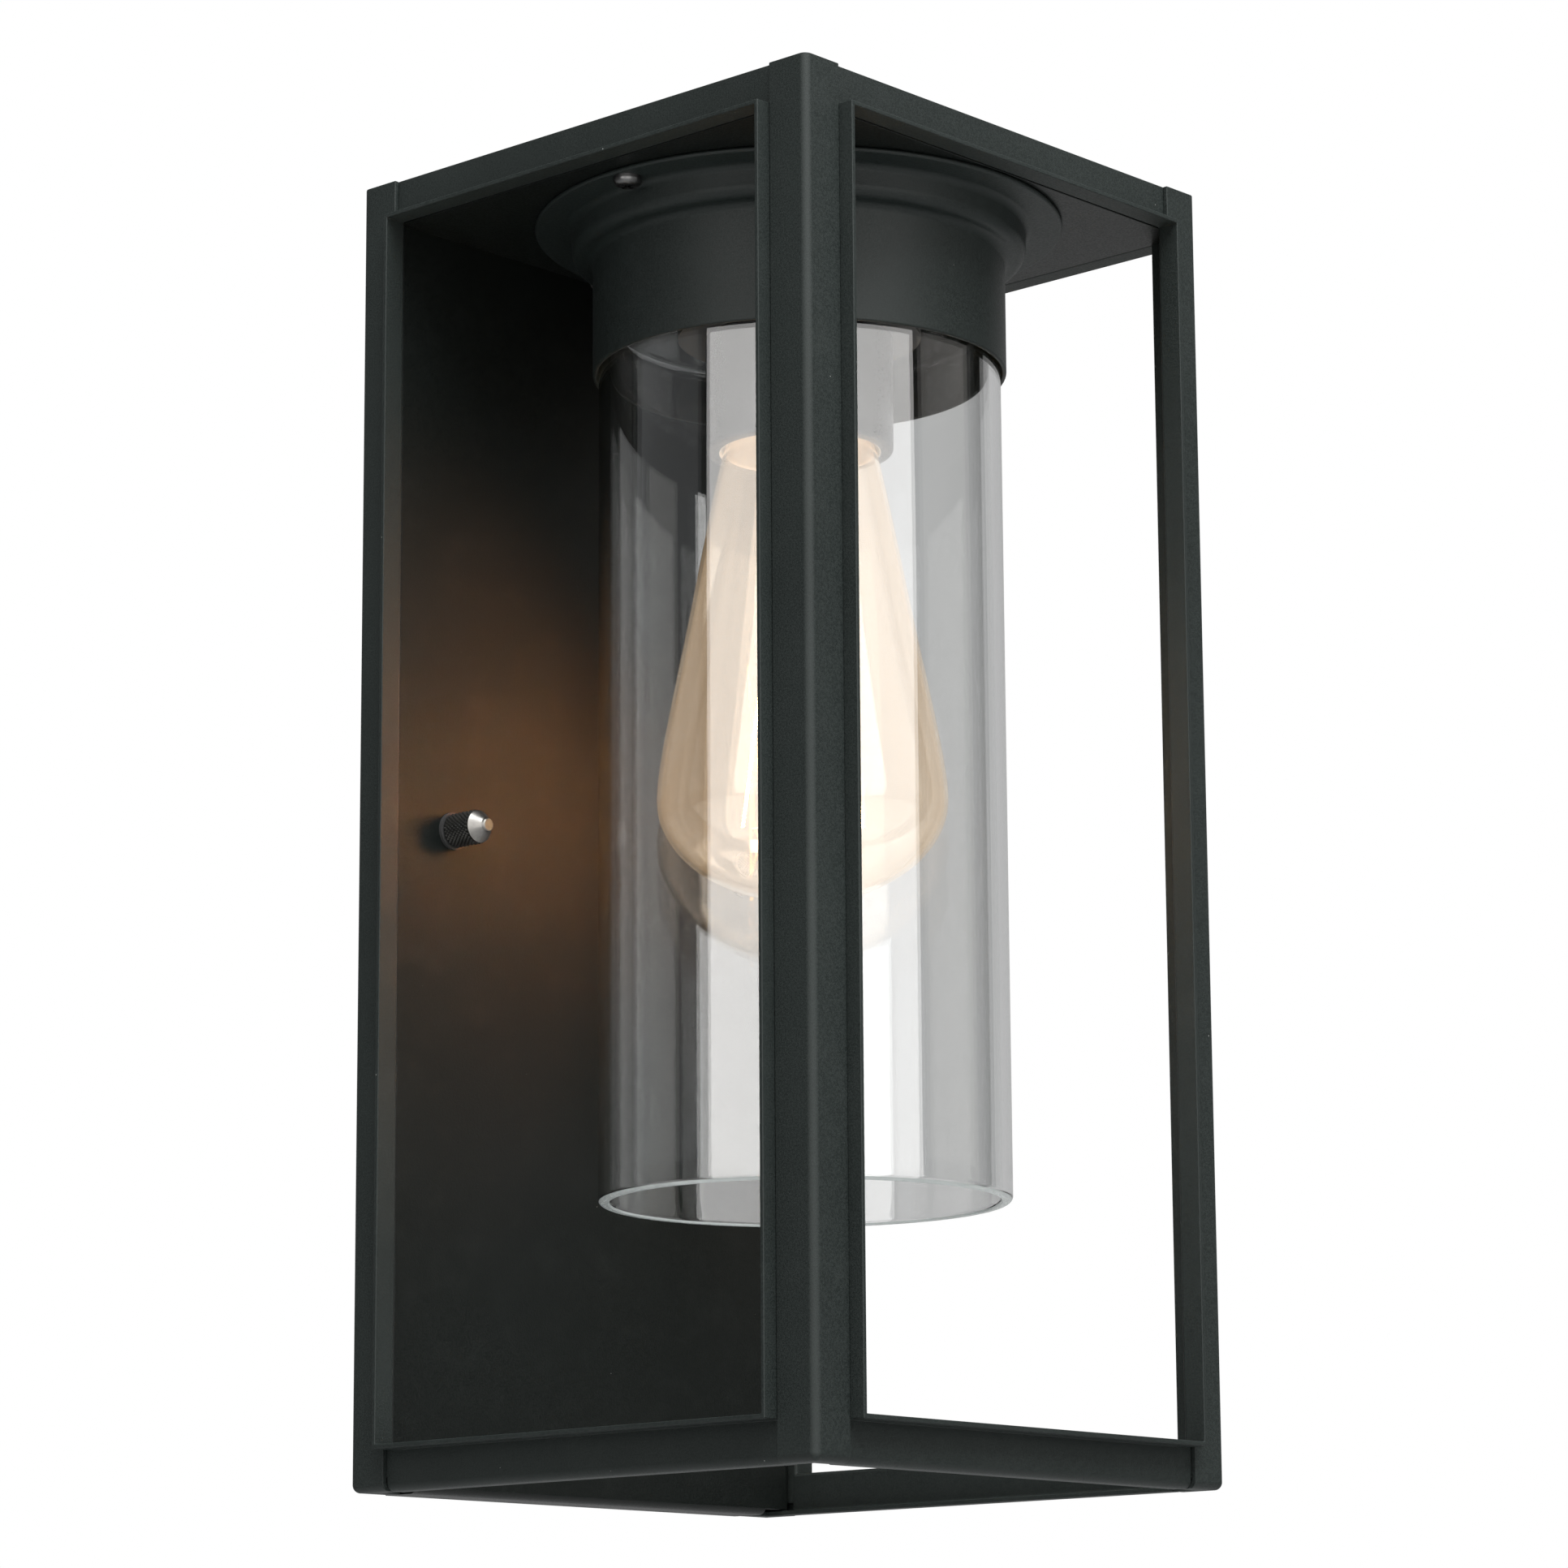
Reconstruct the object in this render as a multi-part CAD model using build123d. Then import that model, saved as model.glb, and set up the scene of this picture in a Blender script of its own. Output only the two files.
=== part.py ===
from build123d import *
from math import pi
import os

# Outdoor wall lantern, millimetres. The wall is the plane y = 0 and the lantern stands out along -Y.
# +X is to the right seen from the front, +Z is up, and z = 0 is the level of the knurled wall nuts.

# ---- cage -------------------------------------------------------------------------------------
cage_width = 136.0          # over the faces of the posts
cage_depth = 138.0          # wall to the faces of the front posts
cage_height = 300.0
post_sheet = 1.2            # folded corner posts
post_leg = 10.7             # width of each leg of a post
fold_radius = 1.8           # outside radius of every fold of the cage
flange_reach = 5.0          # bottom edges turned inward by this much
frame_sheet = 1.0           # face frames, wall pan and ceiling
rail_height = 10.0          # cage end to window edge
lip_gap = 0.1               # post leg to lip
lip_sheet = 1.0
lip_reach = 4.8             # frame face to the edge of the lip
window_rounding = 0.8       # inner edge of a window, as a part of the sheet
roof_sheet = 1.2
corner_relief = 0.7         # side frames stop short of the folds of the posts
post_play = 0.2             # wall pan and roof to the rear posts

# ---- wall pan and its fixings -----------------------------------------------------------------
pan_depth = 10.0
pan_radius = 2.0
nut_inset = 20.5            # studs in from the faces of the posts
stud_dia = 4.0
stud_hole_play = 0.3        # radial play of a stud in the pan
nut_play = 0.05             # radial play of a stud in its knurled nut
washer_dia = 8.6
washer_thick = 0.8
nut_dia = 7.7
nut_grip = 8.4              # knurled length
nut_cone = 2.6              # length of the tapered tip
nut_tip_dia = 5.2
nut_wall = 2.0              # closed end beyond the stud
crossbar_end = 7.5          # bar beyond the studs
crossbar_height = 20.0
crossbar_sheet = 1.8
slot_spacing = 70.0
slot_length = 14.0
slot_radius = 2.2
lock_nut_flats = 7.0
lock_nut_thick = 3.0
earth_screw_x = 14.0
earth_lug_x = 27.0
earth_lug_z = 60.0
earth_lug_size = 8.0
earth_lug_thick = 0.8
earth_screw_dia = 3.0
earth_head_dia = 6.4
earth_head_thick = 2.0
earth_wire_turns = (0.3, 0.6)  # bends of the earth wire, as parts of the height of the lug
edge_chamfer = 0.4          # studs and knurled nuts
crossbar_corner = 3.0
lug_barrel = 3.0            # length of the wire barrel of the lug

# ---- lamp axis --------------------------------------------------------------------------------
lamp_forward = 1.6          # lamp axis in front of the middle of the space in the cage
disc_reach = 13.4           # disc wider than the collar
disc_thick = 1.2
collar_height = 35.7        # ceiling to the rim of the collar
collar_wall = 1.0
bead_rise = 4.9             # bead stands this much wider than the collar
bead_drop = 8.0             # bead starts this far below the disc
fitter_screw_inset = 4.0    # screw centres inside the edge of the disc
fitter_screw_dia = 3.0
fitter_head_dia = 6.4
fitter_head_thick = 2.2
head_dome = 0.7             # rounding of a screw head, as a part of its thickness
cross_length = 3.6
cross_width = 0.8
cross_depth = 1.0
screw_past_ceiling = 2.4
screw_play = 0.1
nipple_dia = 10.0
nipple_wall = 1.25
nipple_above = 2.5          # nipple past the ceiling, and the thickness of its nut
nipple_nut_flats = 14.0
thread_play = 0.05
nipple_in_chamber = 1.0

# ---- glass ------------------------------------------------------------------------------------
glass_play = 0.35           # radial gap, glass to collar
glass_radius = 46.25
glass_wall = 2.5
glass_drop = 226.6          # ceiling to the bottom rim
glass_top_drop = 21.0       # ceiling to the closed shoulder
glass_shoulder = 3.0
glass_hole_play = 0.5       # radial gap, shoulder of the glass to the lampholder

# ---- lampholder -------------------------------------------------------------------------------
holder_radius = 21.5
holder_drop = 54.0          # ceiling to the mouth
mouth_wall = 3.5
mouth_rounding = 1.2
holder_cap_inset = 2.5      # neck above the flange, in from the body
mouth_depth = 11.0
holder_flange = 5.5         # flange wider than the body
flange_thick = 3.0
gasket_thick = 0.8
ring_thick = 3.5
ring_reach = 6.5
holder_floor = 2.0
chamber_height = 4.0
chamber_radius = 15.0
shell_wall = 0.5
shell_play = 0.4            # radial gap, screw shell to bulb base
contact_thick = 0.7
contact_radius = 5.0
contact_gap = 0.3
shell_above_mouth = 1.0     # foot of the shell above the floor of the mouth

# ---- bulb -------------------------------------------------------------------------------------
bulb_radius = 33.0
bulb_crown = 23.0           # widest place to the lowest point
bulb_length = 142.5         # lowest point to the tip contact
bulb_seat = 38.0            # lampholder mouth to the tip contact
envelope_wall = 0.8
base_radius = 13.0
base_length = 22.0
neck_radius = 12.3
neck_in_base = 6.0          # straight neck inside the base
neck_below_base = 0.5
flank_in = 7.7              # pear flank, drawn in from the widest place and up from it
flank_rise = 43.5
knee_in = 15.7
knee_rise = 82.5
thread_pitch = 3.6          # rolled thread of the base, as ridges
thread_ridge = 0.8
thread_root = 0.5
thread_lead = 6.0
insulator_height = 3.0
tip_height = 1.5
tip_radius = 4.5
insulator_inset = 2.0
insulator_rim = 0.5
tip_dome = 0.6
stem_radius = 3.2
stem_play = 0.1
stem_flare_top = 5.0        # above the base rim
stem_flare_foot = 3.0
stem_waist = 8.0            # below the base rim
stem_drop = 58.0            # base rim to the pip of the stem
filament_top_radius = 12.0
filament_foot_radius = 13.5
filament_drop = 40.0
filament_below_pip = 1.5
filament_bend = 1.2
filament_wire = 0.4
filament_legs = 8
support_wire = 0.5
support_clear = 1.3         # arms stop this many bends short of the corner

# ---- wiring -----------------------------------------------------------------------------------
wire_dia = 1.8
wire_pitch = 2.6
wire_bend = 3.5
wire_back = 5.5             # wires run this far from the wall behind the pan
grommet_bore = 5.6
grommet_wall = 1.0
grommet_lip = 1.2
grommet_flare = 0.4         # lips wider than the groove
block_width = 18.0
block_height = 12.0
block_depth = 6.8
block_foot = 52.0
wire_in_block = 5.0
earth_wire_bend = 9.0

# ---- places that follow from the sizes ---------------------------------------------------------
top = cage_height / 2
bottom = -top
half_w = cage_width / 2
nut_spacing = cage_width - 2 * nut_inset
frame_x = half_w - post_sheet               # outer face of the side frames
frame_y = -(cage_depth - post_sheet)        # outer face of the front frame
inner_x = frame_x - frame_sheet
inner_y = frame_y + frame_sheet
ceiling = top - rail_height
ceiling_top = ceiling + frame_sheet
roof_under = top - roof_sheet
pan_inside = -(pan_depth - frame_sheet)
lamp_y = (inner_y - pan_depth) / 2 - lamp_forward
disc_under = ceiling - disc_thick
collar_rim = ceiling - collar_height
collar_inner = glass_radius + glass_play
collar_outer = collar_inner + collar_wall
disc_radius = collar_outer + disc_reach
fitter_screw_radius = disc_radius - fitter_screw_inset
mouth_radius = holder_radius - mouth_wall
crossbar_half = nut_spacing / 2 + crossbar_end
glass_foot = ceiling - glass_drop
glass_top = ceiling - glass_top_drop
glass_inner = glass_radius - glass_wall
mouth = ceiling - holder_drop
flange_z = glass_top + gasket_thick
bulb_tip = mouth + bulb_seat
contact_z = bulb_tip + contact_gap
floor_z = contact_z + contact_thick
crown_z = bulb_tip - bulb_length
widest_z = crown_z + bulb_crown
base_top = bulb_tip - tip_height - insulator_height
base_foot = base_top - base_length
stem_pip = base_foot - stem_drop
filament_z = stem_pip - filament_below_pip
shell_inner = base_radius + shell_play
shell_outer = shell_inner + shell_wall
nipple_top = ceiling_top + nipple_above
nipple_foot = floor_z + holder_floor + chamber_height - nipple_in_chamber
stud_end = pan_depth + washer_thick + nut_grip + nut_cone - nut_wall
grommet_outer = grommet_bore / 2 + grommet_wall
grommet_z = roof_under - pan_radius - grommet_outer - grommet_flare
slack = 5.0                                 # cutters run this far past what they cut
made = {}


def block(x0, x1, y0, y1, z0, z1):
    """A box between two corners."""
    return Pos((x0 + x1) / 2, (y0 + y1) / 2, (z0 + z1) / 2) * Box(x1 - x0, y1 - y0, z1 - z0)


def rod_z(radius, z0, z1, x=0.0, y=0.0):
    """A round bar along Z."""
    return Pos(x, y, (z0 + z1) / 2) * Cylinder(radius, z1 - z0)


def rod_y(radius, y0, y1, x=0.0, z=0.0):
    """A round bar along Y."""
    return Pos(x, (y0 + y1) / 2, z) * Rot(90, 0, 0) * Cylinder(radius, y1 - y0)


def on_lamp(shape):
    """Moves a shape made about the Z axis to the lamp axis."""
    return Pos(0, lamp_y, 0) * shape


def ring(outer, inner, z0, z1):
    """A plain ring about the lamp axis."""
    return on_lamp(rod_z(outer, z0, z1) - rod_z(inner, z0 - slack, z1 + slack))


def face_on(plane, edges):
    """A face on a plane from a closed outline drawn in its own two axes."""
    return make_face([plane * edge for edge in edges])


def turned(*edges):
    """A solid turned about the lamp axis from a closed outline of radius and height."""
    return on_lamp(revolve(face_on(Plane.XZ, edges), Axis.Z))


def hexagon(flats, thick):
    """A hexagon bar along Z, foot at zero."""
    return extrude(RegularPolygon(flats / 2, 6, major_radius=False), thick)


def cage_skin():
    """The folded skin of the whole cage, open at the top, from which the posts are cut."""
    outer = block(-half_w, half_w, -cage_depth, 0, bottom, top + slack)
    outer = fillet(outer.edges().filter_by(Axis.Z) + outer.edges().group_by(Axis.Z)[0], fold_radius)
    inner = block(-frame_x, frame_x, frame_y, -post_sheet, bottom + post_sheet, top + 2 * slack)
    inner_radius = fold_radius - post_sheet
    inner = fillet(inner.edges().filter_by(Axis.Z) + inner.edges().group_by(Axis.Z)[0], inner_radius)
    return outer - inner - block(-cage_width, cage_width, -2 * cage_depth, slack, top, top + 2 * slack)


def post(skin, side, front):
    """One corner post: an L of the skin with its foot turned in."""
    x0, x1 = (half_w - post_leg, half_w) if side > 0 else (-half_w, post_leg - half_w)
    xf0, xf1 = (half_w - flange_reach, half_w) if side > 0 else (-half_w, flange_reach - half_w)
    y0, y1 = (-cage_depth, post_leg - cage_depth) if front else (-post_leg, 0)
    yf0, yf1 = (-cage_depth, flange_reach - cage_depth) if front else (-flange_reach, 0)
    legs = block(x0, x1, yf0, yf1, bottom, top) + block(xf0, xf1, y0, y1, bottom, top)
    return skin & legs


def face_frame(u0, u1, clear0, clear1):
    """A face frame, seen from outside along +Y: outer face on y = 0, sheet behind, lip in front."""
    window0 = clear0 + lip_gap + lip_sheet
    window1 = clear1 - lip_gap - lip_sheet
    foot = bottom + rail_height
    sheet = block(u0, u1, 0, frame_sheet, bottom + post_sheet + fold_radius, top)
    sheet += turned_in_rail(clear0 + lip_gap, clear1 - lip_gap)
    lip = block(window0 - lip_sheet, window1 + lip_sheet, -lip_reach, frame_sheet,
                foot - lip_sheet, ceiling + lip_sheet)
    frame = sheet + lip
    hole = block(window0, window1, -lip_reach - slack, frame_sheet + slack, foot, ceiling)
    frame -= hole
    backs = [face for face in frame.faces().filter_by(Axis.Y).sort_by(Axis.Y) if face.inner_wires()]
    return fillet(backs[-1].inner_wires()[0].edges(), frame_sheet * window_rounding)


def turned_in_rail(u0, u1):
    """The bottom rail between the posts, folded inward at its foot."""
    low = bottom
    bend = bottom + fold_radius
    inner = fold_radius - frame_sheet
    upper = bottom + rail_height - lip_sheet
    outline = face_on(Plane.YZ, [
        Line((0, upper), (0, bend)),
        RadiusArc((0, bend), (fold_radius, low), -fold_radius),
        Line((fold_radius, low), (flange_reach, low)),
        Line((flange_reach, low), (flange_reach, low + frame_sheet)),
        Line((flange_reach, low + frame_sheet), (fold_radius, low + frame_sheet)),
        RadiusArc((fold_radius, low + frame_sheet), (frame_sheet, low + frame_sheet + inner), inner),
        Line((frame_sheet, low + frame_sheet + inner), (frame_sheet, upper)),
        Line((frame_sheet, upper), (0, upper)),
    ])
    return Pos(u0, 0, 0) * extrude(outline, u1 - u0, dir=(1, 0, 0))


def wall_fixing_relief():
    """The room that the rear posts take from the pan and the roof."""
    legs = []
    for side in (-1, 1):
        inner = half_w - post_leg - post_play
        x0, x1 = sorted((side * inner, side * (half_w + slack)))
        wall = -post_sheet - post_play
        legs.append(block(x0, x1, wall, slack, bottom - slack, top + slack))
        legs.append(block(x0, x1, -pan_depth - slack, slack, bottom - slack, bottom - wall))
    return legs


def wall_pan(relief):
    """The shallow tray that closes the wall side."""
    tray = block(-inner_x, inner_x, -pan_depth, 0, bottom, roof_under)
    tray = fillet(tray.faces().sort_by(Axis.Y)[0].edges(), pan_radius)
    hollow = block(-inner_x + frame_sheet, inner_x - frame_sheet, pan_inside, slack,
                   bottom + frame_sheet, roof_under - frame_sheet)
    hollow = fillet(hollow.faces().sort_by(Axis.Y)[0].edges(), pan_radius - frame_sheet)
    tray -= hollow
    for leg in relief:
        tray -= leg
    for x in (-nut_spacing / 2, nut_spacing / 2):
        tray -= rod_y(stud_dia / 2 + stud_hole_play, -pan_depth - slack, slack, x)
    tray -= rod_y(grommet_outer, -pan_depth - slack, slack, 0, grommet_z)
    tray -= rod_y(earth_screw_dia / 2, -pan_depth + frame_sheet / 2, slack, earth_lug_x, earth_lug_z)
    return tray


def roof_plate(relief):
    """The flat lid, flush with the tops of the frames."""
    lid = block(-inner_x, inner_x, inner_y, 0, roof_under, top)
    for leg in relief:
        lid -= leg
    return lid


def ceiling_plate():
    """The plate under the roof space, with the holes of the fitter."""
    plate = block(-inner_x, inner_x, inner_y, -pan_depth, ceiling, ceiling_top)
    plate -= rod_z(nipple_dia / 2 + screw_play, ceiling - slack, top, 0, lamp_y)
    for x in (-fitter_screw_radius, fitter_screw_radius):
        plate -= rod_z(fitter_screw_dia / 2 + screw_play, ceiling - slack, top, x, lamp_y)
    notch = grommet_outer + grommet_flare + post_play
    return plate - rod_y(notch, -pan_depth - grommet_lip - post_play, slack, 0, grommet_z)


def fitter_cup():
    """Disc, rolled bead and deep collar, spun in one piece."""
    bead = collar_outer + bead_rise
    low = disc_under - bead_drop
    swell = bead_rise / 2
    edge = disc_thick / 2
    cup = turned(
        Line((0, ceiling), (disc_radius - edge, ceiling)),
        RadiusArc((disc_radius - edge, ceiling), (disc_radius - edge, disc_under), edge),
        Line((disc_radius - edge, disc_under), (bead + swell / 2, disc_under)),
        RadiusArc((bead + swell / 2, disc_under), (bead, disc_under - swell / 2), -swell / 2),
        Line((bead, disc_under - swell / 2), (bead, low + 2 * swell)),
        RadiusArc((bead, low + 2 * swell), (bead - swell, low + swell), swell),
        RadiusArc((bead - swell, low + swell), (collar_outer, low), -swell),
        Line((collar_outer, low), (collar_outer, collar_rim)),
        Line((collar_outer, collar_rim), (collar_inner, collar_rim)),
        Line((collar_inner, collar_rim), (collar_inner, disc_under)),
        Line((collar_inner, disc_under), (0, disc_under)),
        Line((0, disc_under), (0, ceiling)),
    )
    cup -= on_lamp(rod_z(nipple_dia / 2 + screw_play, 0, top))
    for x in (-fitter_screw_radius, fitter_screw_radius):
        cup -= rod_z(fitter_screw_dia / 2 + screw_play, 0, top, x, lamp_y)
    return cup


def fitter_screws():
    """The pan-head screws that hold the disc to the ceiling."""
    head_z = disc_under - fitter_head_thick
    screws = []
    for x in (-fitter_screw_radius, fitter_screw_radius):
        head = rod_z(fitter_head_dia / 2, head_z, disc_under, x, lamp_y)
        head = fillet(head.edges().sort_by(Axis.Z)[0], fitter_head_thick * head_dome)
        cross = Pos(x, lamp_y, head_z) * (Box(cross_length, cross_width, 2 * cross_depth)
                                          + Box(cross_width, cross_length, 2 * cross_depth))
        shank = rod_z(fitter_screw_dia / 2, disc_under, ceiling_top + screw_past_ceiling, x, lamp_y)
        screws.append(head - cross + shank)
    return screws


def nipple():
    """The threaded tube that hangs the lampholder and carries its wires."""
    return ring(nipple_dia / 2, nipple_dia / 2 - nipple_wall, nipple_foot, nipple_top)


def nipple_nut():
    """The nut on the nipple in the roof space."""
    nut = on_lamp(Pos(0, 0, ceiling_top) * hexagon(nipple_nut_flats, nipple_above))
    return nut - on_lamp(rod_z(nipple_dia / 2 + thread_play, 0, top))


def lampholder_body():
    """The moulded lampholder: skirt, flange for the glass, floor, wire chamber and threaded top."""
    flange_r = holder_radius + holder_flange
    cap_r = holder_radius - holder_cap_inset
    body = on_lamp(rod_z(holder_radius, mouth, flange_z + flange_thick))
    body = fillet(body.edges().sort_by(Axis.Z)[0], mouth_rounding)
    body += on_lamp(rod_z(flange_r, flange_z, flange_z + flange_thick))
    body += on_lamp(rod_z(cap_r, flange_z + flange_thick, disc_under))
    body -= on_lamp(rod_z(mouth_radius, mouth - slack, mouth + mouth_depth))
    body -= on_lamp(rod_z(shell_outer + thread_play, mouth, floor_z))
    body -= on_lamp(rod_z(chamber_radius, floor_z + holder_floor, floor_z + holder_floor + chamber_height))
    body -= on_lamp(rod_z(nipple_dia / 2 + thread_play, floor_z + holder_floor, top))
    return body


def glass_cylinder():
    """The clear glass: a tube with a flat shoulder round the lampholder and a fire-polished rim."""
    hole = holder_radius + glass_hole_play
    rim = glass_wall / 2
    turn_in = glass_shoulder - glass_wall / 2
    return turned(
        Line((hole, glass_top), (glass_radius - glass_shoulder, glass_top)),
        RadiusArc((glass_radius - glass_shoulder, glass_top),
                  (glass_radius, glass_top - glass_shoulder), glass_shoulder),
        Line((glass_radius, glass_top - glass_shoulder), (glass_radius, glass_foot + rim)),
        RadiusArc((glass_radius, glass_foot + rim), (glass_inner, glass_foot + rim), rim),
        Line((glass_inner, glass_foot + rim), (glass_inner, glass_top - glass_wall - turn_in)),
        RadiusArc((glass_inner, glass_top - glass_wall - turn_in),
                  (glass_inner - turn_in, glass_top - glass_wall), -turn_in),
        Line((glass_inner - turn_in, glass_top - glass_wall), (hole, glass_top - glass_wall)),
        Line((hole, glass_top - glass_wall), (hole, glass_top)),
    )


def envelope_outline(shrink):
    """The pear outline of the bulb, from the crown to the neck, drawn in by a wall."""
    wide = bulb_radius - shrink
    neck = neck_radius - shrink
    low = crown_z + shrink
    start, end = base_foot - neck_below_base, base_foot + neck_in_base
    crown = EllipticalCenterArc((0, widest_z), wide, bulb_crown - shrink, start_angle=-90, arc_size=90)
    flank = Spline(
        (wide, widest_z), (wide - flank_in, widest_z + flank_rise), (wide - knee_in, widest_z + knee_rise),
        (neck, start),
        tangents=((0, 1), (0, 1)), tangent_scalars=(1.0, 0.6))
    return [crown, flank, Line((neck, start), (neck, end)), Line((neck, end), (0, end)),
            Line((0, end), (0, low))]


def bulb_glass():
    """The blown envelope of the bulb."""
    outer = turned(*envelope_outline(0))
    inner = turned(*envelope_outline(envelope_wall))
    return outer - inner - ring_cut_above_neck()


def ring_cut_above_neck():
    """Opens the neck, which the stem closes."""
    return on_lamp(rod_z(neck_radius - envelope_wall, base_foot + stem_flare_foot - 1.0, base_top))


def bulb_stem():
    """The glass mount inside the bulb: flare in the neck, stem and pip."""
    flare = neck_radius - envelope_wall - stem_play
    upper, lower = base_foot + stem_flare_top, base_foot + stem_flare_foot
    waist = base_foot - stem_waist
    return turned(
        Line((0, upper), (flare, upper)),
        Line((flare, upper), (flare, lower)),
        Spline((flare, lower), (stem_radius, waist), tangents=((-1, -1), (0, -1))),
        Line((stem_radius, waist), (stem_radius, stem_pip + stem_radius)),
        RadiusArc((stem_radius, stem_pip + stem_radius), (0, stem_pip), stem_radius),
        Line((0, stem_pip), (0, upper)),
    )


def bulb_base():
    """The screw shell of the bulb, with its rolled thread as rounded ridges."""
    root = base_radius - thread_root
    shell = ring(root, root - thread_root, base_foot, base_top)
    for turn in range(int((base_length - thread_lead) / thread_pitch)):
        z = base_foot + thread_lead + thread_pitch * turn
        shell += on_lamp(Pos(0, 0, z) * Torus(base_radius - thread_ridge, thread_ridge))
    bore = on_lamp(rod_z(neck_radius + stem_play, base_foot - slack, base_top))
    return shell - bore + on_lamp(rod_z(root, base_top - thread_root, base_top))


def bulb_insulator():
    """The black glass cone that holds the tip contact."""
    return on_lamp(Pos(0, 0, base_top + insulator_height / 2)
                   * Cone(base_radius - insulator_inset, tip_radius + insulator_rim, insulator_height))


def bulb_tip_contact():
    """The solder contact at the end of the base."""
    foot = base_top + insulator_height
    tip = on_lamp(rod_z(tip_radius, foot, foot + tip_height))
    return fillet(tip.edges().sort_by(Axis.Z)[-1], tip_height * tip_dome)


def filament_corner(index):
    """One corner of the filament, alternately at the top and the foot of its cage."""
    radius, z = ((filament_top_radius, filament_z) if index % 2 == 0
                 else (filament_foot_radius, filament_z - filament_drop))
    return Vector(radius, 0, z).rotate(Axis.Z, 360.0 * index / filament_legs) + Vector(0, lamp_y, 0)


def bulb_filament():
    """The wound filament: one wire that runs up and down round its supports."""
    corners = [filament_corner(index) for index in range(filament_legs)]
    path = FilletPolyline(*corners, radius=filament_bend)
    return sweep((Plane(path @ 0, z_dir=path % 0)) * Circle(filament_wire), path)


def bulb_supports():
    """The support wires: one centre rod below the pip and arms to the filament corners."""
    cage = on_lamp(rod_z(support_wire, filament_z - filament_drop - support_wire, stem_pip))
    for index in range(filament_legs):
        corner = filament_corner(index)
        inner = Vector(0, lamp_y, corner.Z)
        reach = corner - inner
        length = reach.length - filament_wire - support_clear * filament_bend
        cage += Plane(inner, z_dir=reach) * Pos(0, 0, length / 2) * Cylinder(support_wire / 2, length)
    return cage


def lampholder_shell():
    """The threaded contact shell of the lampholder."""
    return ring(shell_outer, shell_inner, mouth + mouth_depth + shell_above_mouth, base_top)


def lampholder_contact():
    """The centre contact on the floor of the lampholder."""
    return on_lamp(rod_z(contact_radius, contact_z, floor_z))


def crossbar():
    """The flat bar on the wall, with its slots, tapped stud holes and earth hole."""
    half = crossbar_height / 2
    bar = block(-crossbar_half, crossbar_half, -crossbar_sheet, 0, -half, half)
    bar = fillet(bar.edges().filter_by(Axis.Y), crossbar_corner)
    for x in (-slot_spacing / 2, slot_spacing / 2):
        slot = extrude(Plane.XZ * SlotOverall(slot_length, 2 * slot_radius), slack, both=True)
        bar -= Pos(x, 0, 0) * slot
    for x in (-nut_spacing / 2, nut_spacing / 2):
        bar -= rod_y(stud_dia / 2, -slack, slack, x)
    return bar - rod_y(earth_screw_dia / 2, -slack, slack, earth_screw_x)


def studs():
    """The two threaded studs that carry the lantern."""
    made_studs = []
    for x in (-nut_spacing / 2, nut_spacing / 2):
        stud = rod_y(stud_dia / 2, -stud_end, 0, x)
        made_studs.append(chamfer(stud.edges().sort_by(Axis.Y)[0], edge_chamfer))
    return made_studs


def stud_lock_nuts():
    """The hexagon nuts that lock the studs to the crossbar."""
    nuts = []
    for x in (-nut_spacing / 2, nut_spacing / 2):
        nut = Pos(x, -crossbar_sheet, 0) * Rot(90, 0, 0) * hexagon(lock_nut_flats, lock_nut_thick)
        nuts.append(nut - rod_y(stud_dia / 2, -stud_end, slack, x))
    return nuts


def earth_screws():
    """The green earth screws, one in the crossbar and one in the pan."""
    bar_head = rod_y(earth_head_dia / 2, -crossbar_sheet - earth_head_thick, -crossbar_sheet, earth_screw_x)
    bar_shank = rod_y(earth_screw_dia / 2, -crossbar_sheet, 0, earth_screw_x)
    seat = pan_inside + earth_lug_thick
    pan_head = rod_y(earth_head_dia / 2, seat, seat + earth_head_thick, earth_lug_x, earth_lug_z)
    pan_shank = rod_y(earth_screw_dia / 2, pan_inside - frame_sheet / 2, seat, earth_lug_x, earth_lug_z)
    return [bar_head + bar_shank, pan_head + pan_shank]


def earth_lug():
    """The ring terminal of the earth wire on the back of the pan."""
    half = earth_lug_size / 2
    lug = block(earth_lug_x - half, earth_lug_x + half, pan_inside, pan_inside + earth_lug_thick,
                earth_lug_z - half - lug_barrel, earth_lug_z + half)
    return lug - rod_y(earth_screw_dia / 2, pan_inside - slack, slack, earth_lug_x, earth_lug_z)


def knurled_nut(x):
    """A blind knurled nut: round grip and tapered tip."""
    seat = -pan_depth - washer_thick
    grip = rod_y(nut_dia / 2, seat - nut_grip, seat, x)
    grip = chamfer(grip.edges(), edge_chamfer)
    cone = (Pos(x, seat - nut_grip - nut_cone / 2, 0) * Rot(90, 0, 0)
            * Cone(nut_dia / 2 - edge_chamfer, nut_tip_dia / 2, nut_cone))
    bore = rod_y(stud_dia / 2 + nut_play, -stud_end - contact_gap, slack, x)
    return grip + cone - bore


def sealing_washer(x):
    """The rubber washer under a knurled nut."""
    washer = rod_y(washer_dia / 2, -pan_depth - washer_thick, -pan_depth, x)
    return washer - rod_y(stud_dia / 2 + nut_play, -2 * pan_depth, slack, x)


def wire_grommet():
    """The rubber grommet of the wire hole in the pan."""
    rubber = rod_y(grommet_outer, -pan_depth, pan_inside, 0, grommet_z)
    for y0 in (-pan_depth - grommet_lip, pan_inside):
        rubber += rod_y(grommet_outer + grommet_flare, y0, y0 + grommet_lip, 0, grommet_z)
    return rubber - rod_y(grommet_bore / 2, -pan_depth - slack, slack, 0, grommet_z)


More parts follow.
